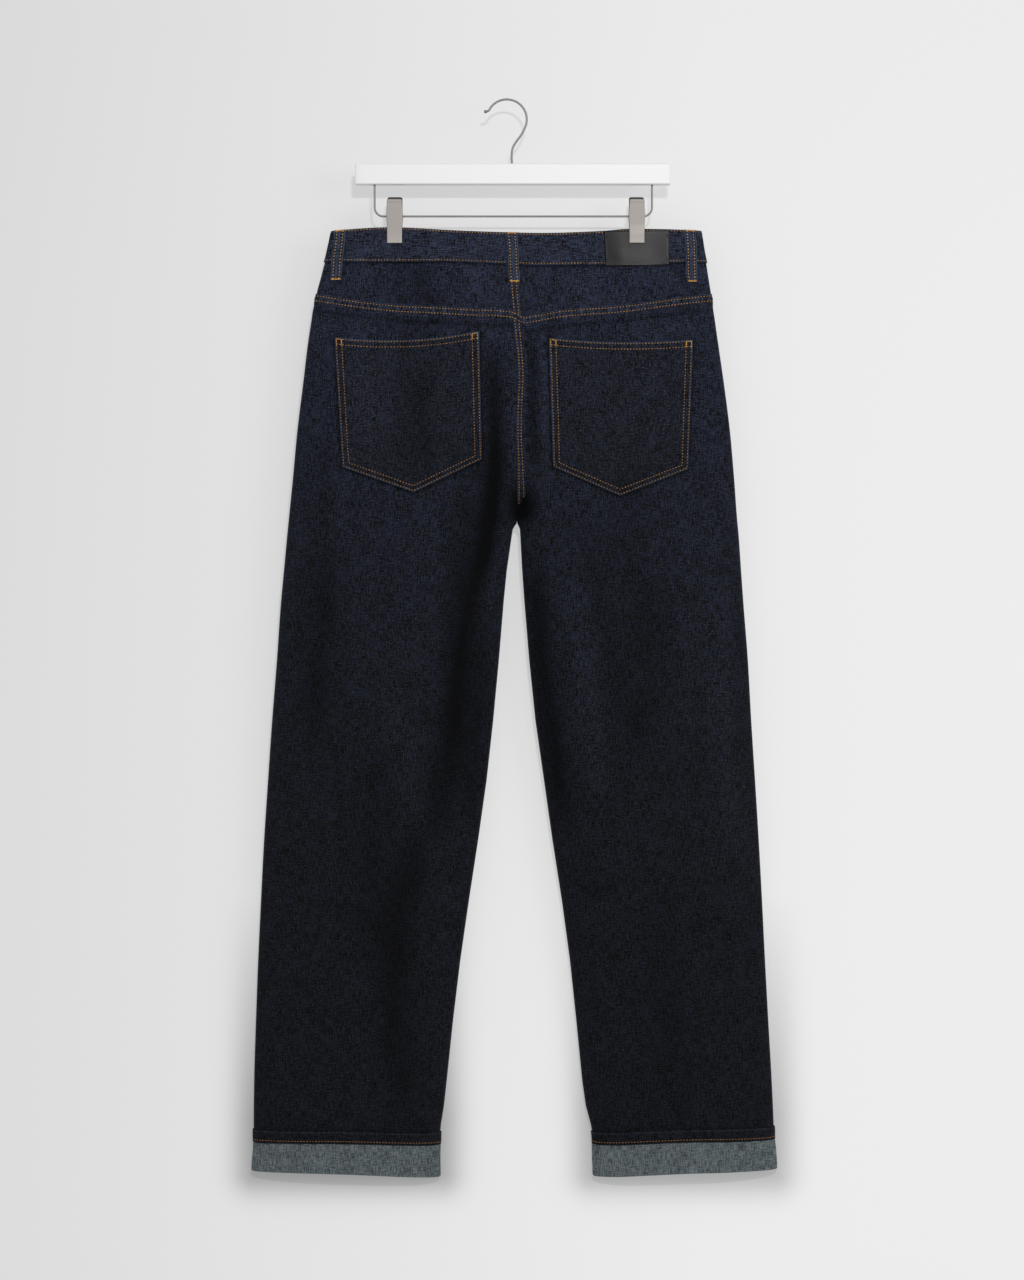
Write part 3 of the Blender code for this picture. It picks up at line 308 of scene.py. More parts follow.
def halfDepth(x, drop, face):
    # Outer face's distance from the middle plane: one section for the torso, parting into two legs, pinched
    # under the clips, with folds and swells added away from the seams and the crotch's hollow taken off.
    x, drop = np.broadcast_arrays(np.asarray(x, float), np.asarray(drop, float))
    isLeft = x < seamX(face, drop)
    left, right = outerEdge("left", drop), outerEdge("right", drop)
    side = np.where(isLeft, left, right)
    inside = np.where(isLeft, innerEdge("left", face, drop), innerEdge("right", face, drop))
    whole = lens(x, left, right, curve(depths, "drop", "torso", drop) * form[face])
    oneLeg = lens(x, np.minimum(side, inside), np.maximum(side, inside),
                  curve(depths, "drop", "leg", drop) * form[face])
    depth = whole + closing(drop) * (oneLeg - whole)
    held = np.minimum(depth, form["pinchedDepth"])
    loose = 1 - pinch(x, drop)
    depth = held + (depth - held) * loose
    fromSide = smooth(np.abs(x - side) / form["foldEdgeFade"])
    fromInside = 1 - closing(drop) * (1 - smooth(np.abs(x - inside) / form["foldEdgeFade"]))
    swell = unevenness(x, drop, face) * loose * smooth(drop / form["swellStart"])
    worked = foldHeight(x, drop, folds[face]) + swell
    depth = depth + worked * fromSide * fromInside
    if face == "back":
        across = (x - crotchHollow["x"]) / crotchHollow["width"]
        down = (drop - crotchHollow["drop"]) / crotchHollow["height"]
        hollow = crotchHollow["depth"] * bell(np.hypot(across, down))
        depth = depth - np.minimum(depth * crotchHollow["mostOfDepth"], hollow)
    return depth


def onForm(x, drop, lift, face):
    # Places and outward directions of points at x and drop, lifted off the form within their section.
    x, drop, lift = np.broadcast_arrays(*(np.asarray(values, float) for values in (x, drop, lift)))
    reach = 0.1  # half the run over which the form's slope is measured
    slope = (halfDepth(x + reach, drop, face) - halfDepth(x - reach, drop, face)) / (2 * reach)
    direction = unit(np.stack((-slope, np.full(x.shape, faceSign[face])), axis=-1))
    for leg in sideSign:
        direction[np.abs(x - outerEdge(leg, drop)) < 0.01] = (sideSign[leg], 0)
    y = faceSign[face] * (form["seamGap"] / 2 + halfDepth(x, drop, face)) + direction[..., 1] * lift
    y = faceSign[face] * np.maximum(y * faceSign[face], form["seamGap"] / 2)
    return np.stack((x + direction[..., 0] * lift, y, drop), axis=-1), direction


def toSpace(points):
    # Points of (x, y, drop) in millimetres to the object's own axes, in metres.
    x, y, drop = np.moveaxis(points, -1, 0)
    return np.stack((form["centreX"] + x, y, form["waistZ"] - drop), -1) * mm


# Meshes from grids of points.

def meshFrom(name, points, faces, uv=None, attributes=None, reverse=None):
    # Mesh from arrays of faces, one array for each number of corners, with a UV map "weave".
    mesh = bpy.data.meshes.new(name)
    points = np.asarray(points, np.float32).reshape(-1, 3)
    corners = np.concatenate([np.asarray(group, np.int32).ravel() for group in faces])
    sizes = np.concatenate([np.full(len(group), len(group[0])) for group in faces]).astype(np.int32)
    mesh.vertices.add(len(points))
    mesh.vertices.foreach_set("co", points.ravel())
    mesh.loops.add(len(corners))
    mesh.loops.foreach_set("vertex_index", corners)
    mesh.polygons.add(len(sizes))
    mesh.polygons.foreach_set("loop_start", np.concatenate(([0], np.cumsum(sizes)[:-1])).astype(np.int32))
    mesh.update(calc_edges=True)
    mesh.polygons.foreach_set("use_smooth", np.ones(len(sizes), bool))
    if uv is not None:
        layer = mesh.uv_layers.new(name="weave")
        layer.data.foreach_set("uv", np.asarray(uv, np.float32).reshape(-1, 2)[corners].ravel())
    for key, values in (attributes or {}).items():
        layer = mesh.attributes.new(key, "FLOAT", "POINT")
        layer.data.foreach_set("value", np.asarray(values, np.float32).ravel())
    if reverse is not None:
        mesh.polygons.foreach_set("material_index", np.asarray(reverse, np.int32))
    return mesh


def gridQuads(rows, columns, wrapRows=False, flip=False, first=0):
    # Quads of a grid of points; wrapRows joins its last row to its first one.
    index = np.arange(rows * columns).reshape(rows, columns) + first
    if wrapRows:
        index = np.vstack((index, index[:1]))
    quads = np.stack((index[:-1, :-1], index[:-1, 1:], index[1:, 1:], index[1:, :-1]), -1).reshape(-1, 4)
    return quads[:, ::-1] if flip else quads


def wallMesh(name, outer, inner, flip, uv, attributes):
    # Closed wall between two grids of points, with its rim; the inner face takes the second material.
    rows, columns = outer.shape[:2]
    count, faceCount = rows * columns, (rows - 1) * (columns - 1)
    index = np.arange(count).reshape(rows, columns)
    rim = np.concatenate((index[0, :-1], index[:-1, -1], index[-1, :0:-1], index[:0:-1, 0]))
    after = np.roll(rim, -1)
    edge = np.stack((rim, rim + count, after + count, after), -1)
    outside = gridQuads(rows, columns, flip=flip)
    inside = gridQuads(rows, columns, flip=not flip, first=count)
    quads = np.concatenate((outside, inside, edge[:, ::-1] if flip else edge))
    reverse = np.zeros(len(quads))
    reverse[faceCount:2 * faceCount] = 1
    points = np.concatenate((toSpace(outer).reshape(-1, 3), toSpace(inner).reshape(-1, 3)))
    doubled = {key: np.tile(values.ravel(), 2) for key, values in attributes.items()}
    return meshFrom(name, points, (quads,), np.tile(uv.reshape(-1, 2), (2, 1)), doubled, reverse)


def tubeMesh(name, points, flip=False, uv=None, attributes=None):
    # Closed body from a grid whose rows are the points round a section and whose columns run along it.
    rows, columns = points.shape[:2]
    index = np.arange(rows * columns).reshape(rows, columns)
    caps = np.stack((index[:, 0], index[::-1, -1]))
    return meshFrom(name, points, (gridQuads(rows, columns, wrapRows=True, flip=flip),
                                   caps[:, ::-1] if flip else caps), uv, attributes)


def addPiece(name, mesh, finishes, replaces=()):
    # Object of a mesh with its finishes, on the one body, in place of the nodes it covers.
    for finish in finishes:
        mesh.materials.append(finish)
    piece = bpy.data.objects.new(name, mesh)
    bpy.context.scene.collection.objects.link(piece)
    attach(piece, "root")
    if replaces:
        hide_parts(*replaces)
    return piece


# Finishes.

def newMaterial(name, colour=(0.5, 0.5, 0.5), roughness=0.5, metallic=0.0):
    # Principled material, with its node tree and shader.
    made = bpy.data.materials.new(name)
    made.use_nodes = True
    shader = made.node_tree.nodes["Principled BSDF"]
    shader.inputs["Base Color"].default_value = (*colour, 1)
    shader.inputs["Roughness"].default_value = roughness
    shader.inputs["Metallic"].default_value = metallic
    return made, made.node_tree, shader


def addNode(tree, kind, settings=None, **inputs):
    # Node with its settings and inputs; an input is a value or another node's socket.
    node = tree.nodes.new("ShaderNode" + kind)
    for key, value in (settings or {}).items():
        setattr(node, key, value)
    for key, value in inputs.items():
        socket = node.inputs[int(key[1:])] if key[0] == "i" and key[1:].isdigit() else node.inputs[key]
        if isinstance(value, bpy.types.NodeSocket):
            tree.links.new(value, socket)
        else:
            socket.default_value = value
    return node


def mathNode(tree, operation, a, b=0.0):
    # One step of arithmetic on two values or sockets.
    return addNode(tree, "Math", {"operation": operation}, i0=a, i1=b).outputs[0]


def times(tree, a, b):
    # A product of values or sockets.
    return mathNode(tree, "MULTIPLY", a, b)


def plus(tree, a, b):
    # A sum of values or sockets.
    return mathNode(tree, "ADD", a, b)


def mapRange(tree, value, start, end, low=0.0, high=1.0):
    # Straight ramp from low at the start to high at the end, flat beyond both.
    return addNode(tree, "MapRange", Value=value, i1=start, i2=end, i3=low, i4=high).outputs[0]


def objectPlace(tree):
    # The object's own coordinates, in metres.
    return addNode(tree, "TexCoord").outputs["Object"]


def attribute(tree, name):
    # The value of a mesh's attribute.
    return addNode(tree, "Attribute", {"attribute_name": name}).outputs["Fac"]


def streaks(tree, vector, scale, detail=2.0):
    # Noise from 0 to 1, stretched by unlike scales along two or three axes.
    mapped = addNode(tree, "Mapping", Vector=vector, Scale=(*scale, 1.0)[:3]).outputs[0]
    return addNode(tree, "TexNoise", Vector=mapped, Scale=1.0, Detail=detail).outputs["Fac"]


def scaleColour(tree, shader, colour, factor):
    # Base colour times a factor.
    toned = addNode(tree, "VectorMath", {"operation": "SCALE"}, i0=colour, Scale=factor)
    tree.links.new(toned.outputs[0], shader.inputs["Base Color"])


def addBump(tree, shader, height, strength, depth):
    # Relief in the shading alone, from a height of 0 to 1.
    bump = addNode(tree, "Bump", Strength=strength, Distance=depth, Height=height)
    tree.links.new(bump.outputs[0], shader.inputs["Normal"])


def mixColour(tree, factor, a, b, kind="MIX"):
    # Two colours, or one times the other, mixed by a factor.
    node = tree.nodes.new("ShaderNodeMix")
    node.data_type = "RGBA"
    node.blend_type = kind
    for socket, value in zip((node.inputs[0], node.inputs[6], node.inputs[7]), (factor, a, b)):
        if isinstance(value, bpy.types.NodeSocket):
            tree.links.new(value, socket)
        else:
            socket.default_value = (*value, 1) if isinstance(value, tuple) else value
    return node.outputs[2]


denimLook = {
    "dark": (0.0004, 0.0005, 0.0010), "light": (0.0200, 0.0256, 0.0512), "fleck": (0.075, 0.094, 0.155),
    "tan": (0.034, 0.029, 0.024), "worn": (0.075, 0.105, 0.165), "grain": 0.0024, "roughness": 0.9,
    "sheen": 0.012, "bump": 0.6, "fleckShare": 0.75, "tanShare": 0.6,
    # heights in metres and shades: painted shade, the colour darkening down the legs where less light falls
    "heights": (-1.15, -0.75, -0.45, -0.24, -0.15), "shades": (0.45, 0.52, 0.74, 0.98, 1.20),
    "lower": (1.0, 0.94, 0.80), "fine": 1.0,
}
reverseLook = {
    "dark": (0.042, 0.055, 0.062), "light": (0.172, 0.205, 0.216), "fleck": (0.28, 0.31, 0.31),
    "tan": (0.11, 0.115, 0.105), "worn": (0.20, 0.24, 0.25), "grain": 0.0022, "roughness": 0.9,
    "sheen": 0.03, "bump": 0.7, "fleckShare": 0.5, "tanShare": 0.4, "heights": (-1.0, 0.0),
    "shades": (0.96, 0.96), "lower": (1.0, 1.0, 1.0), "fine": 1.25,
}
weave = {
    # Noise of each kind of yarn: marks per metre across and down, and detail.
    "yarns": {"warp": (860, 95, 2.0), "weft": (105, 880, 2.0), "speckle": (1050, 980, 1.0),
              "flecks": (680, 560, 1.0)},
    "mottle": (60, 30), "mottleDetail": 4.0, "tan": (460, 520), "twillSlope": 0.5,
    # Each one's share beside the warp, and the sums at which the cloth is dark and light.
    "shares": {"weft": 0.8, "speckle": 0.6, "mottle": 0.3, "twill": 0.04}, "range": (1.235, 1.48),
    "tanRange": (0.5, 0.72), "fleckRange": (0.60, 0.76), "wornBase": 0.1, "lowerRange": (-0.3, -0.9),
    "foldShade": 0.5, "twillRelief": 0.20, "reliefDepth": 0.0008,
    "specular": 0.12, "sheenRoughness": 0.6, "sheenTint": (0.55, 0.62, 0.8, 1),
}


def denimFinish(name, look):
    # Twill on the cloth's own map: the yarns' noises summed to a shade from dark to light, then tan and pale
    # flecks and worn edges over it, and all of it under painted shade and light, by its height and by the
    # folds.
    made, tree, shader = newMaterial(name, roughness=look["roughness"])
    cloth = addNode(tree, "UVMap", {"uv_map": "weave"}).outputs[0]
    fine = look["fine"]
    yarn = {key: streaks(tree, cloth, (across * fine, down * fine), detail)
            for key, (across, down, detail) in weave["yarns"].items()}
    yarn["mottle"] = streaks(tree, cloth, weave["mottle"], weave["mottleDetail"])
    split = addNode(tree, "SeparateXYZ", Vector=cloth)
    slanted = times(tree, split.outputs[1], weave["twillSlope"])
    diagonal = plus(tree, split.outputs[0], slanted)
    yarn["twill"] = mathNode(tree, "SINE", times(tree, diagonal, 2 * math.pi / look["grain"]))
    blend = yarn["warp"]
    for key, share in weave["shares"].items():
        blend = plus(tree, blend, times(tree, yarn[key], share))
    colour = mixColour(tree, mapRange(tree, blend, *weave["range"]), look["dark"], look["light"])
    tan = mapRange(tree, streaks(tree, cloth, weave["tan"]), *weave["tanRange"], 0.0, look["tanShare"])
    colour = mixColour(tree, tan, colour, look["tan"])
    bright = mapRange(tree, yarn["flecks"], *weave["fleckRange"], 0.0, look["fleckShare"])
    colour = mixColour(tree, bright, colour, look["fleck"])
    rubbed = plus(tree, yarn["warp"], weave["wornBase"])
    worn = times(tree, attribute(tree, "worn"), rubbed)
    colour = mixColour(tree, worn, colour, look["worn"])
    z = addNode(tree, "SeparateXYZ", Vector=objectPlace(tree)).outputs[2]
    lower = mixColour(tree, 1.0, colour, look["lower"], "MULTIPLY")
    colour = mixColour(tree, mapRange(tree, z, *weave["lowerRange"]), colour, lower)
    # painted shade: the colour darkens down the legs, by the heights and shades
    shade = 1.0
    heights, shades = look["heights"], look["shades"]
    for low, high, below, above in zip(heights, heights[1:], shades, shades[1:]):
        shade = times(tree, mapRange(tree, z, low, high, 1.0, above / below), shade)
    shade = times(tree, shade, shades[0])
    # painted shade and light along the folds, shadow paths and edges, from the mesh's attribute
    folded = times(tree, attribute(tree, "paintedShade"), weave["foldShade"])
    shade = times(tree, shade, plus(tree, folded, 1.0))
    scaleColour(tree, shader, colour, shade)
    ridges = times(tree, yarn["twill"], weave["twillRelief"])
    relief = plus(tree, ridges, plus(tree, yarn["warp"], yarn["speckle"]))
    addBump(tree, shader, relief, look["bump"], weave["reliefDepth"])
    shader.inputs["Specular IOR Level"].default_value = weave["specular"]
    shader.inputs["Sheen Weight"].default_value = look["sheen"]
    shader.inputs["Sheen Roughness"].default_value = weave["sheenRoughness"]
    shader.inputs["Sheen Tint"].default_value = weave["sheenTint"]
    return made


def threadFinish(name, colour, dark):
    # Twisted thread: colour varied from stitch to stitch.
    made, tree, shader = newMaterial(name, colour, 0.6)
    tree.links.new(mixColour(tree, attribute(tree, "shade"), dark, colour), shader.inputs["Base Color"])
    shader.inputs["Specular IOR Level"].default_value = 0.25
    return made


leatherLook = {
    "dark": (0.006, 0.006, 0.007), "pale": (0.020, 0.020, 0.022), "roughness": (0.36, 0.5), "specular": 0.24,
    "pebbles": 900.0, "rubbing": 60.0, "relief": 0.3, "reliefDepth": 0.0002,
    "sheenFrom": (0.105, 0.2), "sheenTo": (0.172, 2.1),  # x and brightness at the dull and the lit side
}


def leatherFinish():
    # Fine pebbled grain with a soft gloss, a little paler where it is rubbed and brighter to one side.
    made, tree, shader = newMaterial("black leather", leatherLook["pale"], leatherLook["roughness"][1])
    place = objectPlace(tree)
    cells = addNode(tree, "TexVoronoi", {"feature": "DISTANCE_TO_EDGE"}, Vector=place,
                    Scale=leatherLook["pebbles"])
    rubbed = addNode(tree, "TexNoise", Vector=place, Scale=leatherLook["rubbing"], Detail=4.0)
    rubbed = rubbed.outputs["Fac"]
    (start, dull), (end, lit) = leatherLook["sheenFrom"], leatherLook["sheenTo"]
    x = addNode(tree, "SeparateXYZ", Vector=place).outputs[0]
    across = mapRange(tree, x, start, end, dull, lit)
    scaleColour(tree, shader, mixColour(tree, rubbed, leatherLook["dark"], leatherLook["pale"]), across)
    tree.links.new(mapRange(tree, rubbed, 0.0, 1.0, *leatherLook["roughness"]), shader.inputs["Roughness"])
    shader.inputs["Specular IOR Level"].default_value = leatherLook["specular"]
    addBump(tree, shader, cells.outputs["Distance"], leatherLook["relief"], leatherLook["reliefDepth"])
    return made


metalShade = (0.05, 0.045, 0.042)  # metal that faces metal close by


def metalFinish(name, colour, roughness, grain, spread=0.12, relief=0.12):
    # Metal with fine marks stretched along its brushing: grain is the marks per metre along X, Y and Z.
    made, tree, shader = newMaterial(name, colour, roughness, 1.0)
    shaded = mixColour(tree, attribute(tree, "shaded"), colour, metalShade)
    tree.links.new(shaded, shader.inputs["Base Color"])
    marks = streaks(tree, objectPlace(tree), grain, 3.0)
    rough = mapRange(tree, marks, 0.0, 1.0, roughness - spread, roughness + spread)
    tree.links.new(rough, shader.inputs["Roughness"])
    addBump(tree, shader, marks, relief, 0.0001)
    return made


paintLook = {"colour": (0.84, 0.845, 0.84), "roughness": 0.42, "grain": (30, 260, 260), "relief": 0.12,
             "reliefDepth": 0.0003}


def paintFinish():
    # Satin paint with long, faint marks along the bar.
    made, tree, shader = newMaterial("white paint", paintLook["colour"], paintLook["roughness"])
    grain = streaks(tree, objectPlace(tree), paintLook["grain"], 3.0)
    addBump(tree, shader, grain, paintLook["relief"], paintLook["reliefDepth"])
    return made


denim = denimFinish("indigo denim", denimLook)
pocketDenim = denimFinish("pocket denim", {**denimLook, "light": (0.0168, 0.0204, 0.0372)})
bandDenim = denimFinish("waistband denim", {**denimLook, "light": (0.0268, 0.0342, 0.0645)})
denimReverse = denimFinish("denim reverse", reverseLook)
thread = threadFinish("tan thread", (0.44, 0.232, 0.068), (0.20, 0.102, 0.030))
loopThread = threadFinish("loop thread", (0.52, 0.31, 0.12), (0.34, 0.19, 0.066))
tackThread = threadFinish("bar tack thread", (0.80, 0.42, 0.085), (0.55, 0.27, 0.052))
hemThread = threadFinish("hem thread", (0.26, 0.125, 0.037), (0.17, 0.078, 0.025))
patchThread = threadFinish("dark red thread", (0.060, 0.012, 0.010), (0.035, 0.008, 0.007))
leather = leatherFinish()
antiqueMetal = metalFinish("antique metal", (0.30, 0.22, 0.15), 0.36, (400, 400, 400))
clipSteel = metalFinish("brushed clip steel", (0.44, 0.412, 0.388), 0.66, (2600, 2600, 60), 0.06)
wireSteel = metalFinish("hanger wire", (0.27, 0.265, 0.26), 0.5, (60, 60, 60), 0.03, 0.0)
whitePaint = paintFinish()
print("finishes ready")

# Cloth panels.

panel = {
    # Distances of the first columns from an edge and of the first rows from the top seam.
    "edgeSteps": (0.0, 0.15, 0.5, 1.0, 1.7, 2.6, 4.0, 6.0, 8.5, 11.5),
    "topSteps": (0.0, 0.7, 1.6, 2.8, 4.2, 6.0, 8.2, 10.6, 13.4, 16.5),
    "columns": {"back": 96, "front": 58}, "rowStep": {"back": 3.0, "front": 4.2}, "topCrowd": 1.6,
    "level": {"back": 140.0, "front": 168.0},  # drop at which the rows lie level
    "sheet": (0.262, 0.995, 0.236),  # flat width, height and area
    "settle": 6,  # rounds in which an edge's x and drop come to agree,
    "guess": {"band": 34, "yoke": 80, "hem": 1060},  # from these drops
    # Puckers: their wave length, their middle's distance from the seam, half their width, height.
    "topPuckers": (11.0, 15, 7, 0.50), "centrePuckers": (10.0, 12, 5, 0.50), "centreFade": 40.0,
    "besidePocket": (2.4, 2.4, 0.9),  # a dip round each pocket: its middle, half width, depth
}
# Rubbed lines along edges, and painted shadow lines below seams and round the pockets: strength, distance
# from the edge, half width.
edgeWear = {"side": (0.5, 0.0, 1.2), "inseam": (0.35, 0.0, 1.2)}
edgeShadow = {"belowSeam": (0.9, 13.0, 2.5), "belowBand": (1.2, 3.0, 1.8), "roundPocket": (1.3, 0.6, 1.7)}


def gradedX(start, end, count):
    # x of each column from start to end, both given per column: graded near the two and even between.
    steps = np.array(panel["edgeSteps"]) * np.sign(np.mean(end - start))
    n = len(steps)
    x = np.empty(np.broadcast(start, end).shape)
    start, end = np.broadcast_to(start, x.shape), np.broadcast_to(end, x.shape)
    x[..., :n] = start[..., :n] + steps
    share = np.linspace(0, 1, count + 2)[1:-1]
    low, high = (start + steps[-1])[..., n:n + count], (end - steps[-1])[..., n:n + count]
    x[..., n:n + count] = low + (high - low) * share
    x[..., n + count:] = end[..., n + count:] - steps[::-1]
    return x


def panelX(leg, face, drop, count=None):
    # x of each column of a panel at its own drop, side seam first.
    count = panel["columns"][face] if count is None else count
    return gradedX(outerEdge(leg, drop), innerEdge(leg, face, drop), count)


def columnCount(face, count=None):
    # Graded columns at both edges and the even ones between.
    return 2 * len(panel["edgeSteps"]) + (panel["columns"][face] if count is None else count)


def edgeRow(leg, face, edge, start, count=None):
    # Drop of each column along an edge given as a function of x.
    drop = np.full(columnCount(face, count), float(start))
    for _ in range(panel["settle"]):
        drop = edge(panelX(leg, face, drop, count))
    return drop


def puckers(along, seed, wave=9.0):
    # Uneven ripples along a seam, from -1 to 1: three sines of unlike lengths.
    turn = seed * 1.7
    ripple = np.sin(2 * math.pi * along / wave + turn + 1.1 * np.sin(along / 31 + turn))
    ripple = ripple + 0.7 * np.sin(2 * math.pi * along / (wave * 1.63) + 2.3 * turn)
    return (ripple + 0.5 * np.sin(2 * math.pi * along / (wave * 2.9) + 0.7 * turn)) / 2.2


def puckered(along, seed, distance, wave, middle, width, height):
    # Puckers along a seam, highest at one distance from it and fading as a bell to both sides.
    return puckers(along, seed, wave) * bell((distance - middle) / width) * height


def lineAt(distance, strength, middle, width):
    # A soft line along an edge, from its distance: a bell.
    return strength * bell((distance - middle) / width)


def clothMap(points, drop):
    # The weave's map in metres: distance along each row from its middle column, and drop.
    steps = np.linalg.norm(np.diff(points, axis=1), axis=-1)
    length = np.concatenate((np.zeros((len(points), 1)), np.cumsum(steps, axis=1)), axis=1)
    middle = points.shape[1] // 2
    sign = np.sign(points[0, -1, 0] - points[0, 0, 0])
    across = points[:, middle, 0][:, None] + sign * (length - length[:, middle][:, None])
    return np.stack((across, drop), axis=-1) * mm


def panelPiece(name, leg, face, drop, lift, worn, deep):
    # Wall of cloth lifted off the form, its inner face one thickness further in.
    x = panelX(leg, face, drop, drop.shape[1] - 2 * len(panel["edgeSteps"]))
    outer, _ = onForm(x, drop, lift, face)
    inner, _ = onForm(x, drop, lift - form["cloth"], face)
    limit = innerEdge(leg, face, drop)
    for points in (outer, inner):  # above the crotch nothing crosses the centre seam
        crossing = (drop <= form["crotch"]) & ((points[..., 0] - limit) * sideSign[leg] < 0)
        points[..., 0] = np.where(crossing, limit, points[..., 0])
    flip = sideSign[leg] * faceSign[face] > 0
    # worn is rubbed wear; the other attribute holds painted fold shade and light, less the painted shadow
    # lines in deep
    shades = {"worn": worn, "paintedShade": paintedFoldShade(x, drop, face) - deep}
    mesh = wallMesh(name, outer, inner, flip, clothMap(outer, drop), shades)
    piece = addPiece(name + "_cloth", mesh, (denim, denimReverse), (name,))


def panelRows(top, level, end, step):
    # Rows that follow the top seam, level out, and run down to the end row.
    rows = [top + fromTop for fromTop in panel["topSteps"]]
    last = rows[-1]
    count = int(math.ceil((level - top.min()) / step / panel["topCrowd"]))
    rows += [last + (level - last) * k / count for k in range(1, count + 1)]
    count = int(math.ceil((end.min() - level) / step))
    rows += [level + (end - level) * k / count for k in range(1, count + 1)]
    return np.array(rows)


def scoopDrop(leg, x):
    # Edge of the hand-pocket opening: a quarter ellipse from the waistband to the side seam.
    start = scoop["startX"][leg]
    share = np.clip((x - start) / (outerEdge(leg, scoop["drop"]) - start), 0, 1)
    top = frontSeamDrop(np.array(start))
    return top + (scoop["drop"] - top) * np.sqrt(np.clip(1 - (1 - share) ** 2, 0, 1))


def dip(x):
    # The front waist hangs lower towards its middle: (1 - (x / half width)^2)^1.5 of its full dip.
    half = np.where(x < 0, -waistEdge["x"][0], waistEdge["x"][-1])
    return form["frontDip"] * np.clip(1 - (x / half) ** 2, 0, 1) ** 1.5


def frontEdgeDrop(x):
    # Drop of the front waist's upper edge: the back's with the dip.
    return dropAt(waistEdge, x) + dip(x)


def frontSeamDrop(x):
    # Drop of the seam under the front waistband: the back's with the dip.
    return dropAt(bandSeam, x) + dip(x)


scoop = {"startX": {"left": -112.0, "right": 118.0}, "drop": 116.0}
gap = form["seamGap"] / 2


def topEdge(leg, face, x):
    # Upper edge of a panel: the yoke's seam at the back; at the front the waistband's, then the scoop.
    if face == "back":
        return dropAt(yokeSeam, x) + gap
    onScoop = (x - scoop["startX"][leg]) * sideSign[leg] > 0
    return np.where(onScoop, scoopDrop(leg, x), frontSeamDrop(x)) + gap


pocketCorners = {
    "left": {"topOuter": (-201.0, 121.3), "topMid": (-120.0, 125.4), "topInner": (-38.5, 115.4),
             "lowInner": (-35.4, 260.1), "point": (-111.6, 297.0), "lowOuter": (-191.6, 268.2)},
    "right": {"topOuter": (201.9, 124.0), "topMid": (121.2, 128.0), "topInner": (39.6, 123.2),
              "lowInner": (44.4, 268.4), "point": (119.2, 301.0), "lowOuter": (195.8, 270.6)},
}


def fromPocket(leg, x, drop):
    # Distance from a pocket's sides and lower edges.
    edges = [pocketCorners[leg][key] for key in ("topOuter", "lowOuter", "point", "lowInner", "topInner")]
    return nearestOnPath(x, drop, edges)[0]


for leg in sideSign:
    for face in faceSign:
        top = edgeRow(leg, face, lambda x: topEdge(leg, face, x), panel["guess"]["yoke"])
        end = edgeRow(leg, face, lambda x: dropAt(hemEdge, x) - form["legShort"], panel["guess"]["hem"])
        drop = panelRows(top, panel["level"][face], end, panel["rowStep"][face])
        x = panelX(leg, face, drop)
        fromTop, fromSide = drop - top, np.abs(x - outerEdge(leg, drop))
        fromCentre = np.abs(x - innerEdge(leg, face, drop))
        ripple = puckered(x, 1 + sideSign[leg], fromTop, *panel["topPuckers"])
        ripple += (puckered(drop, 3 + sideSign[leg], fromCentre, *panel["centrePuckers"])
                   * smooth((form["crotch"] - drop) / panel["centreFade"]))
        worn = lineAt(fromSide, *edgeWear["side"])
        worn += lineAt(fromCentre, *edgeWear["inseam"]) * (drop > form["crotch"])
        # painted shadow lines, kept in deep: one below the top seam, and at the back one round each pocket
        deep = lineAt(fromTop, *edgeShadow["belowSeam"])
        if face == "back":
            beyond = fromPocket(leg, x, drop)
            strength, middle, width = edgeShadow["roundPocket"]
            deep += lineAt(np.maximum(beyond, middle), strength, middle, width)
            middle, width, depth = panel["besidePocket"]
            ripple -= lineAt(beyond, depth, middle, width)
        panelPiece(face + "_" + leg, leg, face, drop, ripple, worn, deep)
print("leg panels ready")

# Yokes.

yoke = {
    "topShares": (0, 0.01, 0.02, 0.035, 0.05, 0.065, 0.08, 0.095, 0.11), "endShares": (0.97, 0.99, 1),
    "middleShares": (0.13, 0.95, 30), "topPuckers": (10.0, 5, 6, 0.34), "lowPuckers": (12.0, 13, 6, 0.24),
    "sheet": (0.222, 0.072, 0.0130),
}
for leg in sideSign:
    top = edgeRow(leg, "back", lambda x: dropAt(bandSeam, x) + gap, panel["guess"]["band"])
    low = edgeRow(leg, "back", lambda x: dropAt(yokeSeam, x) - gap, panel["guess"]["yoke"])
    share = np.concatenate((yoke["topShares"], np.linspace(*yoke["middleShares"]), yoke["endShares"]))
    drop = top + (low - top) * share[:, None]
    x = panelX(leg, "back", drop)
    ripple = puckered(x, 5 + sideSign[leg], drop - top, *yoke["topPuckers"])
    ripple += puckered(x, 8 + sideSign[leg], low - drop, *yoke["lowPuckers"])
    worn = lineAt(np.abs(x - outerEdge(leg, drop)), *edgeWear["side"])
    # a painted shadow line just below the waistband, kept in deep
    deep = lineAt(drop - top, *edgeShadow["belowBand"])
    panelPiece("yoke_" + leg, leg, "back", drop, ripple, worn, deep)

# Hand-pocket facings behind the front's openings.

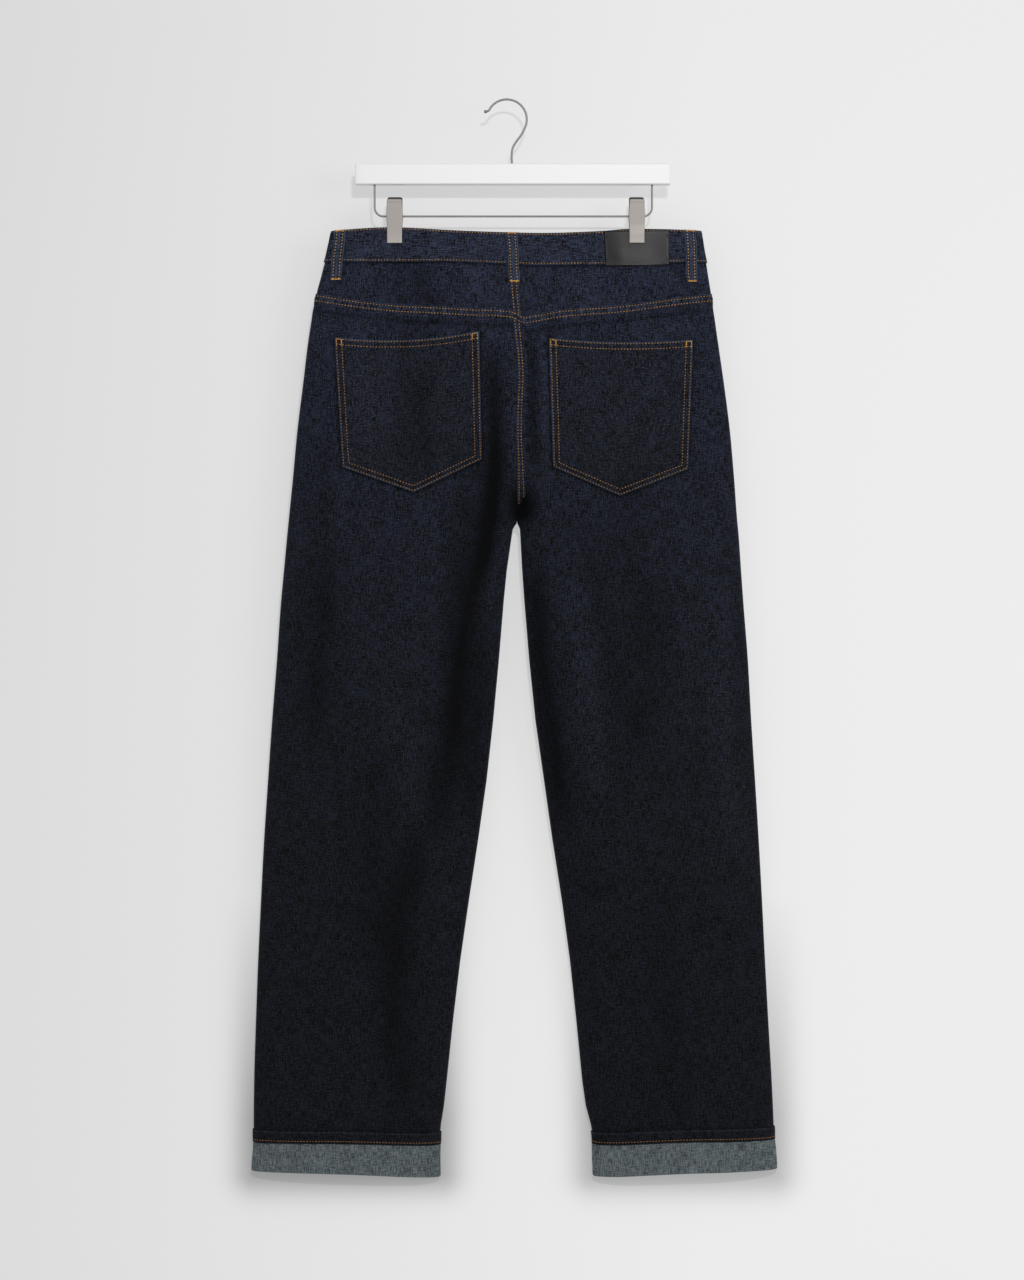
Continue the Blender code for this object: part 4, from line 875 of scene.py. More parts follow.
facing = {
    "columns": 24, "rows": 30, "innerShare": 0.88, "inset": 2.4, "overlap": 14.0,
    "flush": 24.0, "flushEnd": 14.0, "flushFade": 18.0,  # level with the front near the side seam
    "sheet": (0.13, 0.11, 0.0092),
}
for leg in sideSign:
    steps = sideSign[leg] * np.array(panel["edgeSteps"])
    start = scoop["startX"][leg] - sideSign[leg] * facing["overlap"]
    share = np.linspace(facing["innerShare"], 0, facing["columns"])

    def facingX(side):
        # Columns at their own side seam: graded steps in from it, then even shares of the width.
        even = start + (side[..., len(steps):] - start) * share
        return np.concatenate((side[..., :len(steps)] - steps, even), -1)

    count = len(steps) + len(share)
    top = frontSeamDrop(facingX(np.full(count, outerEdge(leg, panel["guess"]["band"])))) + form["seamGap"]
    low = scoopDrop(leg, facingX(np.full(count, outerEdge(leg, scoop["drop"]))))
    low = np.maximum(low, top) + facing["overlap"]
    drop = top + (low - top) * np.linspace(0, 1, facing["rows"])[:, None]
    side = outerEdge(leg, drop)
    x = facingX(side)
    flush = smooth(1 - np.abs(x - side) / facing["flush"])
    flush = flush * smooth((scoop["drop"] - facing["flushEnd"] - drop) / facing["flushFade"])
    lift = facing["inset"] * (flush - 1)
    outer, _ = onForm(x, drop, lift, "front")
    inner, _ = onForm(x, drop, lift - form["cloth"], "front")
    mesh = wallMesh("facing", outer, inner, sideSign[leg] > 0, clothMap(outer, drop), {})
    piece = addPiece("pocket_facing_" + leg + "_cloth", mesh, (denim, denimReverse),
                     ("pocket_facing_" + leg,))
print("yokes and facings ready")

# What is sewn on.

def gridNormals(points, face):
    # Outward normals of a grid: the cross product of its two slopes, turned to the grid's own face.
    down, across = np.gradient(points, axis=(0, 1))
    normals = unit(np.cross(down, across))
    return normals * np.sign(np.sum(normals[..., 1]) * faceSign[face])


sewn = {}  # stitch rows by group: [(points, normals)], both in millimetres
tacks = []  # (points, normals) of short bars of close threads, laid along their length


def sew(group, points, normals):
    # Keeps a row of stitches for its group.
    sewn.setdefault(group, []).append((np.asarray(points, float), np.asarray(normals, float)))


def sewOnForm(group, path, face, lift):
    # Row along a path of (x, drop), lifted off the form.
    path = np.array(path, float)
    points, direction = onForm(path[:, 0], path[:, 1], lift, face)
    sew(group, points, np.column_stack((direction, np.zeros(len(path)))))


def smoothPath(points, spacing):
    # Points along a cubic through the given ones, about evenly spaced; slopes come from the neighbours.
    points = np.array(points, float)
    lengths = runLengths(points)
    at = np.linspace(0, lengths[-1], max(2, int(round(lengths[-1] / spacing)) + 1))
    columns = [curve({"length": lengths, "value": points[:, k]}, "length", "value", at)
               for k in range(points.shape[1])]
    return np.stack(columns, axis=-1)


def beside(path, distance):
    # A path of (x, drop) moved sideways in the cloth by a distance, to the right of its direction.
    path = np.array(path, float)
    along = unit(np.gradient(path, axis=0))
    return path + np.column_stack((-along[:, 1], along[:, 0])) * distance


def flatMap(x, drop):
    # The weave's map of a piece that keeps its own x and drop.
    return np.stack((x, drop), -1) * mm


# Waistbands.

# Round the band's section: lift, share of the height from its top edge, millimetres added to the drop.
bandSection = (
    (-0.75, 0, 0.0), (-0.1, 0, 0.03), (0.4, 0, 0.28), (0.72, 0, 0.75), (0.82, 0, 1.2), (0.62, 0, 1.8),
    (0.8, 0, 2.5),
    (0.84, 0, 3.4), (0.8, 0, 5.0), (0.8, 0.2, 0.6), (0.8, 0.3, 0.4), (0.8, 0.4, 0.2), (0.8, 0.5, 0),
    (0.8, 0.6, -0.2), (0.8, 0.7, -0.4), (0.8, 0.8, -0.6), (0.95, 0.9, -0.9), (1.35, 1, -3.0), (1.3, 1, -2.5),
    (1.05, 1, -1.9), (1.5, 1, -1.1), (1.5, 1, -0.5), (1.1, 1, -0.06), (-0.3, 1, 0.0), (-1.3, 1, -0.1),
    (-1.6, 1, -0.7), (-1.6, 0.75, 0), (-1.6, 0.5, 0), (-1.6, 0.25, 0), (-1.6, 0, 1.0), (-1.35, 0, 0.35),
)
band = {
    "stitchRows": (5, 19),  # rows of its section that are sewn
    "belowStitch": 2.4,  # its lower edge, below its row of stitches
    "columns": {"whole": 150, "half": 84}, "middleDrop": 17.0, "outside": 0.35,
    "lowPuckers": (9.0, 6, 3.6, 0.34), "topPuckers": (13.0, 6.5, 4, 0.22),
    "swell": (0.3, 19, 9, 47, 6),  # height, lengths across and down, slant, distance it takes to grow
    "topWear": (0.55, 0.0, 0.8), "lowWear": (0.35, 0.0, 0.7), "wearFrom": -0.8,
}


def bandPiece(name, face, ends, edges, seed):
    # The section carried along the waist. Ends are x values, or None at a side seam; edges give the drop of
    # the top and lower edge at x.
    lift, share, extra = np.array(bandSection).T[:, :, None]
    low, high = ends
    columns = band["columns"]["whole" if low is None and high is None else "half"]
    drop = np.full((len(bandSection), columns), band["middleDrop"])
    for _ in range(panel["settle"]):
        start = outerEdge("left", drop) if low is None else np.full(drop.shape, low)
        end = outerEdge("right", drop) if high is None else np.full(drop.shape, high)
        x = gradedX(start, end, columns - 2 * len(panel["edgeSteps"]))
        top, seam = edges[0](x), edges[1](x) + band["belowStitch"] - gap
        drop = top + (seam - top) * share + extra
    onOutside, fromTop, fromLow = lift > band["outside"], drop - top, seam - drop
    pucker = puckered(x, seed, fromLow, *band["lowPuckers"])
    pucker += puckered(x, seed + 3, fromTop, *band["topPuckers"])
    height, across, down, slant, grown = band["swell"]
    swell = height * np.sin(x / across + seed) * np.sin(fromTop / down + x / slant)
    pucker += swell * smooth(fromTop / grown)
    points, _ = onForm(x, drop, lift + pucker * onOutside, face)
    worn = lineAt(fromTop, *band["topWear"]) * (lift > band["wearFrom"])
    worn = worn + lineAt(fromLow, *band["lowWear"]) * onOutside
    mesh = tubeMesh(name, toSpace(points), face == "back", flatMap(drop + lift, x), {"worn": worn})
    piece = addPiece(name + "_cloth", mesh, (bandDenim,), (name,))
    normals = gridNormals(points, face)
    for row in band["stitchRows"]:
        sew("waistband", points[row, 1:-1], normals[row, 1:-1])


backEdges = (lambda x: dropAt(waistEdge, x), lambda x: dropAt(bandSeam, x))
frontEdges = (frontEdgeDrop, frontSeamDrop)
flyX = 26.0  # where the waistband's ends meet
bandPiece("waistband_back", "back", (None, None), backEdges, 1)
bandPiece("waistband_front_left", "front", (None, flyX - form["seamGap"]), frontEdges, 2)
bandPiece("waistband_front_right", "front", (flyX, None), frontEdges, 4)
print("waistbands ready")

# Felled seams of the yoke and the seat.

# Across a felled seam: distance from its middle, lift. The folded edge comes first.
felledSection = (
    (-5.3, -0.4), (-5.35, 0.35), (-5.15, 0.8), (-4.7, 1.02), (-4.0, 1.05), (-3.4, 0.95), (-2.8, 0.66),
    (-2.2, 0.95), (-1.2, 1.12), (0, 1.15), (1.2, 1.1), (2.2, 0.92), (2.8, 0.6), (3.4, 0.8), (4.4, 0.74),
    (5.8, 0.5), (7.6, 0.2), (9.6, -0.14), (11.5, -0.6),
)
felledRows = (6, 12)  # rows of the section that are sewn
felledWorn = ((-5.4, 0.5), (-4.9, 0.25), (-4.2, 0.02), (4.0, 0.0))
yokeStrip = {
    "columns": 130, "rowPuckers": (6.5, 0, 3.4, 0.42), "edgePuckers": (11.0, -4.6, 1.6, 0.16),
    "under": (0.3, -0.5),  # the inner face: below the outer one, and at least this deep
    "ridgeWear": 0.45, "sheet": (0.228, 0.018),
}


def felledShades(offset, ripple, edgeWorn, ridgeWorn):
    # Worn along the folded edge, and on the crests of the puckers.
    return {"worn": edgeWorn * spread(felledWorn, offset) + ridgeWorn * np.clip(ripple * 4, 0, 1)}


def felledPiece(name, points, flip, cloth, shades, group):
    # Wall between its outer and inner grids, with two rows of stitches.
    outer, inner = points
    mesh = wallMesh("felled", outer, inner, flip, cloth, shades)
    piece = addPiece(name, mesh, (denim, denimReverse))
    normals = gridNormals(outer, "back")
    for row in felledRows:
        sew(group, outer[row, 1:], normals[row, 1:])


for leg in sideSign:
    offset, lift = np.array(felledSection).T[:, :, None]
    count = yokeStrip["columns"]
    drop = np.full((len(felledSection), count + 2 * len(panel["edgeSteps"])), 88.0)
    for _ in range(panel["settle"]):
        x = gradedX(outerEdge(leg, drop), innerEdge(leg, "back", drop), count)
        drop = dropAt(yokeSeam, x) + offset
    ripple = puckered(x, 6 * sideSign[leg] + 7, offset, *yokeStrip["rowPuckers"])
    ripple += puckered(x, 4 * sideSign[leg] + 9, offset, *yokeStrip["edgePuckers"])
    below, deepest = yokeStrip["under"]
    outer, _ = onForm(x, drop, lift + ripple, "back")
    inner, _ = onForm(x, drop, np.minimum(lift - below, deepest) + 0 * x, "back")
    shades = felledShades(offset, ripple, 1.0, yokeStrip["ridgeWear"])
    felledPiece("yoke_seam_" + leg, (outer, inner), sideSign[leg] < 0, clothMap(outer, drop), shades,
                "yoke_" + leg)


def seatForm(offset, drop):
    # Depth across the centre seam, bridged over the valley that opens between the legs: the mean of the
    # form's depths on both sides, sagging between them.
    seam, reach = seamX("back", drop), seatStrip["reach"]
    left, middle, right = (halfDepth(seam + side * reach, drop, "back") for side in (-1, 0, 1))
    bridge = (left + right) / 2
    sag = seatStrip["sag"] * np.clip(bridge - middle, 0, None)
    x = seam + offset
    return x, np.maximum(halfDepth(x, drop, "back"), bridge - sag * (1 - np.clip(offset / reach, -1, 1) ** 2))


seatStrip = {
    "reach": 8.0, "sag": 0.45, "puckers": (7.0, 0, 3.2, 0.26), "thickness": 0.9, "width": 0.0155,
    "edgeWear": 1.9, "ridgeWear": 0.35,
    "crossing": (0.55, 100.5, 4.2),  # the yoke's seam crosses over the seat's
    "turnIn": (6.0, 297.0, 12.0),  # and its end turns into the crotch
    "parts": {"upper": {"drops": (36.5, 104.0), "fold": 1, "count": 44},
              "lower": {"drops": (97.5, 309.0), "fold": -1, "count": 120}},
    # Down the seam: share of the full width, and how far the strip lies to the right.
    "narrow": ((36, 0.95), (97, 0.86), (130, 0.68), (250, 0.64), (290, 0.9), (307, 1.0)),
    "shift": ((36, 0), (112, -0.3), (141, 1.0), (165, 1.7), (200, 0.8), (237, 0), (280, 1.2), (307, 2.2)),
}
for part, strip in seatStrip["parts"].items():
    offset, lift = np.array(felledSection).T[:, :, None]
    fold, (start, end) = strip["fold"], strip["drops"]
    drop = np.linspace(start, end, strip["count"])[None, :] + 0 * offset
    x, depth = seatForm(-offset * spread(seatStrip["narrow"], drop) * fold, drop)
    x = x + spread(seatStrip["shift"], drop)
    ripple = puckered(drop, fold + 3, offset, *seatStrip["puckers"])
    under = lineAt(drop, *seatStrip["crossing"])
    turned, turnStart, turnLength = seatStrip["turnIn"]
    depth = depth - turned * smooth((drop - turnStart) / turnLength)
    outer = np.stack((x, -(gap + depth + (lift + ripple) * (1 - under)), drop), axis=-1)
    inner = np.stack((x, -(gap + depth - seatStrip["thickness"]), drop), axis=-1)
    shades = felledShades(offset, ripple, seatStrip["edgeWear"], seatStrip["ridgeWear"])
    felledPiece("seat_seam_" + part, (outer, inner), fold > 0, flatMap(x, drop), shades, "seat")
print("felled seams ready")

# Back pockets.

# Distance from a pocket's edge of each of its first rows and columns, and lift there.
pocketLift = ((0, 1.1), (0.25, 2.0), (0.7, 2.5), (1.3, 2.66), (1.9, 2.3), (2.5, 2.66), (3.3, 2.8), (4.6, 2.8),
              (6.0, 2.66), (7.0, 2.3), (7.8, 1.9), (8.6, 2.1), (10.0, 1.9), (12.5, 1.7))
pocketWorn = ((0, 0.9), (0.7, 0.8), (1.3, 0.2), (1.7, 0.0))
pocket = {
    "columns": 31, "rows": 56, "stitchRows": (4, 10), "lowStitchRows": (4, 9), "rowEnds": 3,
    "slant": 0.94,  # the lower edges slope, so their distances are taken square to them
    "edgePuckers": (7.0, 4.8, 1.8, 0.20), "insidePuckers": (12.0, 11.5, 3.5, 0.22), "insideFade": 9.0,
    "mouth": (0.9, 0.3, 22.0),  # the mouth stands a little open: how far, half width, how deep
    "under": (0.5, 0.9, 4.0),  # the inner face: lift at the edge, how far it sinks, how soon
    "sheet": (0.168, 0.182, 0.0262),
}


def pocketGrid(corners):
    # Places of a five-sided pocket's grid and their distances from its sides, upper and lower edges: columns
    # run from a sagging upper edge to a lower edge of two straight runs.
    steps, even = np.array(pocketLift)[:, 0], pocket["columns"]
    (outerX, outerDrop), (innerX, innerDrop) = corners["topOuter"], corners["topInner"]
    width = abs(innerX - outerX)
    lowEdge = [corners[key] for key in ("lowOuter", "point", "lowInner")]
    pointShare = (lowEdge[1][0] - lowEdge[0][0]) / (lowEdge[2][0] - lowEdge[0][0])
    u = np.concatenate((steps / width, np.linspace(steps[-1] / width, pointShare, even)[1:],
                        np.linspace(pointShare, 1 - steps[-1] / width, even)[1:-1], 1 - steps[::-1] / width))
    sag = corners["topMid"][1] - (outerDrop + innerDrop) / 2
    topDrop = outerDrop + (innerDrop - outerDrop) * u + sag * 4 * u * (1 - u)
    top = np.stack((outerX + (innerX - outerX) * u, topDrop), axis=-1)
    low = np.stack([np.interp(u, (0, pointShare, 1), column) for column in zip(*lowEdge)], axis=-1)
    height, slant = (low - top)[:, 1], pocket["slant"]
    middle = np.linspace(steps[-1] / height, 1 - steps[-1] / height / slant, pocket["rows"])[1:-1]
    v = np.concatenate((steps[:, None] / height, middle, 1 - steps[::-1, None] / height / slant))
    place = top + (low - top) * v[..., None]
    return place, u, (np.minimum(u, 1 - u) * width + 0 * v, v * height, (1 - v) * height * slant)


for leg, corners in pocketCorners.items():
    place, u, (fromSide, fromTop, fromLow) = pocketGrid(corners)
    x, drop = place[..., 0], place[..., 1]
    distance = np.minimum(np.minimum(fromSide, fromTop), fromLow)
    lift = spread(pocketLift, distance)
    alongTop = fromTop <= np.minimum(fromSide, fromLow)
    along = np.where(alongTop, x, np.where(fromSide < fromLow, drop, x))
    lift += puckered(along, 11 + sideSign[leg], distance, *pocket["edgePuckers"])
    inside = puckered(along, 14 + sideSign[leg], distance, *pocket["insidePuckers"])
    lift += inside * smooth(distance / pocket["insideFade"])
    opened, half, deep = pocket["mouth"]
    lift += opened * bell((u - 0.5) / half) * bell(fromTop / deep)
    outer, _ = onForm(x, drop, lift, "back")
    edgeLift, sunk, reach = pocket["under"]
    inner, _ = onForm(x, drop, edgeLift - sunk * smooth(distance / reach), "back")
    # the pocket's colour takes painted fold shade and light, as the panels' does
    mesh = wallMesh("pocket", outer, inner, sideSign[leg] < 0, clothMap(outer, drop),
                    {"worn": spread(pocketWorn, distance), "paintedShade": paintedFoldShade(x, drop, "back")})
    name = "back_pocket_" + leg
    piece = addPiece(name + "_cloth", mesh, (pocketDenim, denimReverse), (name,))
    normals = gridNormals(outer, "back")
    first, last = pocket["rowEnds"], outer.shape[1] - 1
    for k, low in zip(pocket["stitchRows"], pocket["lowStitchRows"]):
        sew("pocket_" + leg, outer[k, first:-first], normals[k, first:-first])
        down, up = (slice(first, -low), k), (slice(first, -low), last - k)
        across = (-1 - low, slice(k, last - k + 1))
        sew("pocket_" + leg, *(np.concatenate((grid[down], grid[across][1:], grid[up][::-1][1:]))
                               for grid in (outer, normals)))
    near, far = pocket["stitchRows"]
    for a, b in ((near, far), (last - near, last - far)):
        # a bar along the hem row and one down each row of stitches, at each upper corner
        alongHem = (near, slice(min(a, b), max(a, b) + 1))
        for bar in (alongHem, (slice(near, far + 2), a), (slice(near, far + 1), b)):
            tacks.append((outer[bar], normals[bar]))
print("back pockets ready")

# Belt loops.

loopTable = (
    {"name": "loop_back_centre", "face": "back", "topX": -1.7, "lowX": 1.1, "lowDrop": 59.6},
    {"name": "loop_side_left", "face": "back", "topX": -195.4, "lowX": -200.4, "lowDrop": 56.4},
    {"name": "loop_side_right", "face": "back", "topX": 199.4, "lowX": 201.2, "lowDrop": 58.4},
    {"name": "loop_front_left", "face": "front", "topX": -92.0, "lowX": -93.0, "lowDrop": 59.0},
    {"name": "loop_front_right", "face": "front", "topX": 98.0, "lowX": 99.0, "lowDrop": 59.0},
)
# Round a loop's section, from its left edge over the outside: distance across, lift.
loopSection = (
    (-6.1, 0.35), (-6.25, 0.8), (-6.0, 1.3), (-5.2, 1.6), (-4.1, 1.55), (-3.35, 1.26), (-2.6, 1.6),
    (-1.3, 1.72), (0, 1.74), (1.3, 1.72), (2.6, 1.6), (3.35, 1.26), (4.1, 1.55), (5.2, 1.6), (6.0, 1.3),
    (6.25, 0.8), (6.1, 0.35), (5.6, 0.04), (0, 0.0), (-5.6, 0.04),
)
# Down a loop: share of its length, how far its inner face stands off.
loopLift = ((0, 0.95), (0.06, 1.0), (0.25, 1.9), (0.5, 2.1), (0.62, 1.9), (0.74, 1.0), (0.9, 0.35), (1, 0.3))
loopLook = {
    "endSteps": (0.0, 0.12, 0.4, 0.9, 1.7, 3.0, 4.5),  # distances of the first stations from an end
    "stations": 18, "above": 0.1, "sway": (0.25, 9), "endRound": 0.9, "endLeast": 0.06,
    "puckers": (6.0, 0, 3, 0.12), "stitchRows": (5, 11), "outsideRows": (1, 16), "tackStations": (3, -4),
    "edgeWear": (0.9, 5.9, 0.6), "middleWear": (0.4, 0.0, 1.8), "sheet": (0.0135, 0.062),
}
for loop in loopTable:
    name, face, topX = loop["name"], loop["face"], loop["topX"]
    edge = backEdges[0] if face == "back" else frontEdges[0]
    across, lift = np.array(loopSection).T[:, :, None]
    length = loop["lowDrop"] - float(edge(np.array(topX))) + loopLook["above"]
    ends = np.array(loopLook["endSteps"]) / length
    middle = np.linspace(ends[-1], 1 - ends[-1], loopLook["stations"])[1:-1]
    share = np.concatenate((ends, middle, 1 - ends[::-1]))[None, :]
    sway, swayTurns = loopLook["sway"]
    x = topX + (loop["lowX"] - topX) * share + across + sway * np.sin(share * swayTurns + topX)
    drop = edge(x) - loopLook["above"] + (loop["lowDrop"] - edge(x) + loopLook["above"]) * share
    # its ends are rounded over a quarter circle
    fromEnd = np.minimum(np.minimum(share, 1 - share) * length / loopLook["endRound"], 1)
    rounded = np.sqrt(np.clip(1 - (1 - fromEnd) ** 2, loopLook["endLeast"], 1))
    ripple = puckered(share * length, topX, across, *loopLook["puckers"]) * (lift > 1)
    points, _ = onForm(x, drop, spread(loopLift, share) + lift * rounded + ripple, face)
    worn = lineAt(np.abs(across), *loopLook["edgeWear"]) + lineAt(across, *loopLook["middleWear"])
    mesh = tubeMesh(name, toSpace(points), face == "front", flatMap(x, drop),
                    {"worn": worn * (lift > 0.3) + 0 * share})
    piece = addPiece(name + "_cloth", mesh, (bandDenim,), (name,))
    first, last = loopLook["outsideRows"]
    normals = gridNormals(points[first:last], face)
    for row in loopLook["stitchRows"]:
        sew("loops", points[row, 2:-2], normals[row - first, 2:-2])
    for station in loopLook["tackStations"]:
        tacks.append((points[first + 2:last - 2, station], normals[2:-2, station]))
print("belt loops ready")

# Turned-up hems.

def arcPoints(centre, radius, start, end, steps):
    # Part of a circle from one angle to another, in degrees.
    turn = np.radians(np.linspace(start, end, steps))
    return np.column_stack((centre[0] + radius * np.cos(turn), centre[1] + radius * np.sin(turn)))


cuff = {
    # The cloth folds up round the leg's end: half circles of two radii about one centre of (out, height).
    "foldCentre": (0.45, 1.85), "outerRadius": 1.85, "innerRadius": 0.42,
    "heights": (4, 7, 10, 13.5, 17, 20.5, 24, 27.5, 31, 34, 36, 38, 41, 44, 47.5), "out": 2.3, "outside": 2.2,
    "flare": (2.3, 38, 40),  # it widens towards its fold, on the outer side: how far, height, reach
    "swell": (0.35, 17, 22, 14),  # height of the swells, length, middle and half width up the turn-up
    "puckers": (10.0, 31, 4, 0.3), "foldWear": (0.5, 0.4, 0.9),
    "columns": 70, "guess": 1040, "narrowFrom": 26.0, "narrowOver": 10.0,
    "sheet": (0.215, 0.058),
}
cuffSection = np.concatenate((
    arcPoints(cuff["foldCentre"], cuff["outerRadius"], 180, 360, 11),
    np.column_stack((np.full(len(cuff["heights"]), cuff["out"]), cuff["heights"])),
    [(2.0, 48.4), (1.5, 48.6), (1.0, 48.3)],
    np.column_stack((np.full(4, 0.9), (44, 30, 16, 5))),
    arcPoints(cuff["foldCentre"], cuff["innerRadius"], 360, 180, 7),
    [(0.0, 2.6), (-0.7, 2.9), (-1.3, 2.7)],
))
hemBandSection = np.array((
    (2.35, 36.6), (3.0, 36.4), (3.45, 36.8), (3.6, 37.6), (3.5, 38.7), (3.2, 39.4), (3.45, 40.1), (3.6, 41.2),
    (3.65, 43), (3.65, 45), (3.65, 46.8), (3.6, 48.3), (3.5, 49.3), (3.2, 50.0), (2.8, 50.25), (2.3, 50.0),
    (2.05, 49.3), (2.32, 48.1), (2.4, 44), (2.4, 40),
))
hemBand = {
    "stitchRow": 5, "outsideRows": (2, 13), "outside": 2.9,
    "topPuckers": (9.0, 45, 4.5, 0.22), "rowPuckers": (7.0, 40.6, 1.6, 0.12),
    "edgeWave": (14.0, 50, 3, 0.25), "edgeWear": (0.8, 49.7, 0.9), "wearWave": (0.6, 0.4, 33, 8.0),
    "sheet": (0.215, 0.0158),
}
# The turned cloth is narrower towards the side seams: across, drop of its upper part.
bandShift = {"x": (-294, -190, -84, 90, 200, 294), "drop": (3.8, 1.8, 0.0, 0.2, 0.8, 2.6)}
sideTuck = {"share": 0.6, "reach": 9.0}  # the layers lie closer together at the leg's edges


def hemGrid(leg, face, section):
    # A profile of (out, height above the fold) carried round one face of a leg.
    rows = []
    for out, height in section:
        lowered = float(smooth((height - cuff["narrowFrom"]) / cuff["narrowOver"]))
        drop = edgeRow(leg, face, lambda x: dropAt(hemEdge, x) - height + lowered * dropAt(bandShift, x),
                       cuff["guess"], cuff["columns"])
        x = panelX(leg, face, drop, cuff["columns"])
        edge = np.minimum(np.abs(x - x[0]), np.abs(x - x[-1]))
        rows.append((x, drop, out * (1 - sideTuck["share"] * (1 - smooth(edge / sideTuck["reach"])))))
    return np.array(rows).transpose(1, 0, 2)


def cuffPiece(leg, face):
    # The turned-up end, reverse side out, with its swells, its puckers and its flare towards the fold.
    x, drop, out = hemGrid(leg, face, cuffSection)
    sectionOut, height = cuffSection.T[:, :, None]
    onOutside = sectionOut > cuff["outside"]
    swell, length, middle, half = cuff["swell"]
    raised = swell * np.sin(x / length + 3 * sideSign[leg]) * bell((height - middle) / half)
    raised += puckered(x, 21 + sideSign[leg], height, *cuff["puckers"])
    flare, flareHeight, flareReach = cuff["flare"]
    fromSide = np.abs(x - outerEdge(leg, drop))
    flare = flare * smooth(1 - height / flareHeight) * smooth(1 - fromSide / flareReach)
    points, _ = onForm(x, drop, out + raised * onOutside, face)
    points[..., 0] += sideSign[leg] * flare
    worn = lineAt(height, *cuff["foldWear"]) + 0 * x
    flip = sideSign[leg] * faceSign[face] < 0
    mesh = tubeMesh("cuff", toSpace(points), flip, flatMap(x, drop), {"worn": worn})
    name = "turnup_" + leg + "_" + face
    piece = addPiece(name + "_cloth", mesh, (denimReverse,), (name,))


def hemBandPiece(leg, face):
    # The stitched hem along the turn-up's upper edge, with its puckers, wavy edge and row of stitches.
    x, drop, out = hemGrid(leg, face, hemBandSection)
    sectionOut, height = hemBandSection.T[:, :, None]
    lifted = sectionOut > hemBand["outside"]
    ripple = puckered(x, 25 + sideSign[leg], height, *hemBand["topPuckers"])
    ripple += puckered(x, 28 + sideSign[leg], height, *hemBand["rowPuckers"])
    points, _ = onForm(x, drop, out + ripple * lifted, face)
    points[..., 2] += puckered(x, 31 + sideSign[leg], height, *hemBand["edgeWave"])
    steady, varied, seed, wave = hemBand["wearWave"]
    worn = lineAt(height, *hemBand["edgeWear"]) * lifted * (steady + varied * puckers(x, seed, wave))
    flip = sideSign[leg] * faceSign[face] < 0
    mesh = tubeMesh("hem band", toSpace(points), flip, flatMap(x, drop), {"worn": worn})
    name = "hem_band_" + leg + "_" + face
    piece = addPiece(name + "_cloth", mesh, (denim,), (name,))
    (first, last), row = hemBand["outsideRows"], hemBand["stitchRow"]
    normals = gridNormals(points[first:last], face)
    sew("hem_" + leg, points[row, 1:], normals[row - first, 1:])


for leg in sideSign:
    for face in faceSign:
        cuffPiece(leg, face)
        hemBandPiece(leg, face)
print("turned-up hems ready")

# The front's seams.

fly = {
    "rowsFromSeam": (-3.0, 2.6), "rowDrops": (219, 322, 40), "lift": 0.25, "secondRow": -6.0, "barLift": 0.3,
    "edge": ((-33.0, 52.5), (-33.2, 100), (-32.6, 150), (-29.0, 180), (-20.0, 204), (-8.0, 217), (1.5, 221)),
    "bars": (((-8.0, 214.0), (0.5, 219.0)), ((-31.0, 158.0), (-25.6, 165.5))),
}
# Rows along the hand-pocket's edge: distances from it, their lift, and where they stop short of other seams.
scoopRows = {"distances": (1.9, 7.8), "lift": 0.2, "stations": 60, "belowBand": 1.5, "fromSide": 1.0}
pathStep = 2.0

rowDrops = np.linspace(*fly["rowDrops"])
for distance in fly["rowsFromSeam"]:
    row = np.column_stack((form["frontSeamX"] + distance + 0 * rowDrops, rowDrops))
    sewOnForm("fly", row, "front", fly["lift"])
flyEdge = smoothPath(fly["edge"], pathStep)
sewOnForm("fly", flyEdge, "front", fly["lift"])
sewOnForm("fly", beside(flyEdge, fly["secondRow"])[:-2], "front", fly["lift"])
for ends in fly["bars"]:
    bar = smoothPath(ends, pathStep)
    points, direction = onForm(bar[:, 0], bar[:, 1], fly["barLift"], "front")
    tacks.append((points, np.column_stack((direction, np.zeros(len(bar))))))
for leg in sideSign:
    share = 1 - np.cos(np.linspace(0.0, math.pi / 2, scoopRows["stations"]))
    start, side = scoop["startX"][leg], float(outerEdge(leg, scoop["drop"]))
    xs = start + (side - start) * share
    mouth = smoothPath(np.column_stack((xs, scoopDrop(leg, xs))), pathStep)
    for distance in scoopRows["distances"]:
        row = beside(mouth, distance * sideSign[leg])
        belowBand = row[:, 1] > frontSeamDrop(row[:, 0]) + scoopRows["belowBand"]
        insideSide = np.abs(row[:, 0]) < np.abs(outerEdge(leg, row[:, 1])) - scoopRows["fromSide"]
        sewOnForm("scoop_" + leg, row[belowBand & insideSide], "front", scoopRows["lift"])
print("front seams ready")

# Threads.

stitch = {"length": 2.2, "width": 1.35, "height": 0.75, "pitch": 3.4, "slant": 0.10}
tackStitch = {"length": 1.7, "width": 0.52, "height": 0.46, "pitch": 0.48}
# Rings along a stitch: place along it and size, as shares of its length and width.
stitchRings = ((-0.42, 0.62), (-0.18, 0.98), (0.18, 0.98), (0.42, 0.62))
stitchSides = 6
stitchDip = (1.1, 0.28)  # its ends go down into the cloth, by this much less a lift of the whole
# How unevenly stitches lie, in radians and shares of their length.
threadJitter = {"slant": 0.05, "turn": 0.03, "length": 0.05}
# Thread is darker further down the seat, but not at the hem.
threadDarkening = {"share": 0.35, "from": 110, "over": 150, "hem": 900}


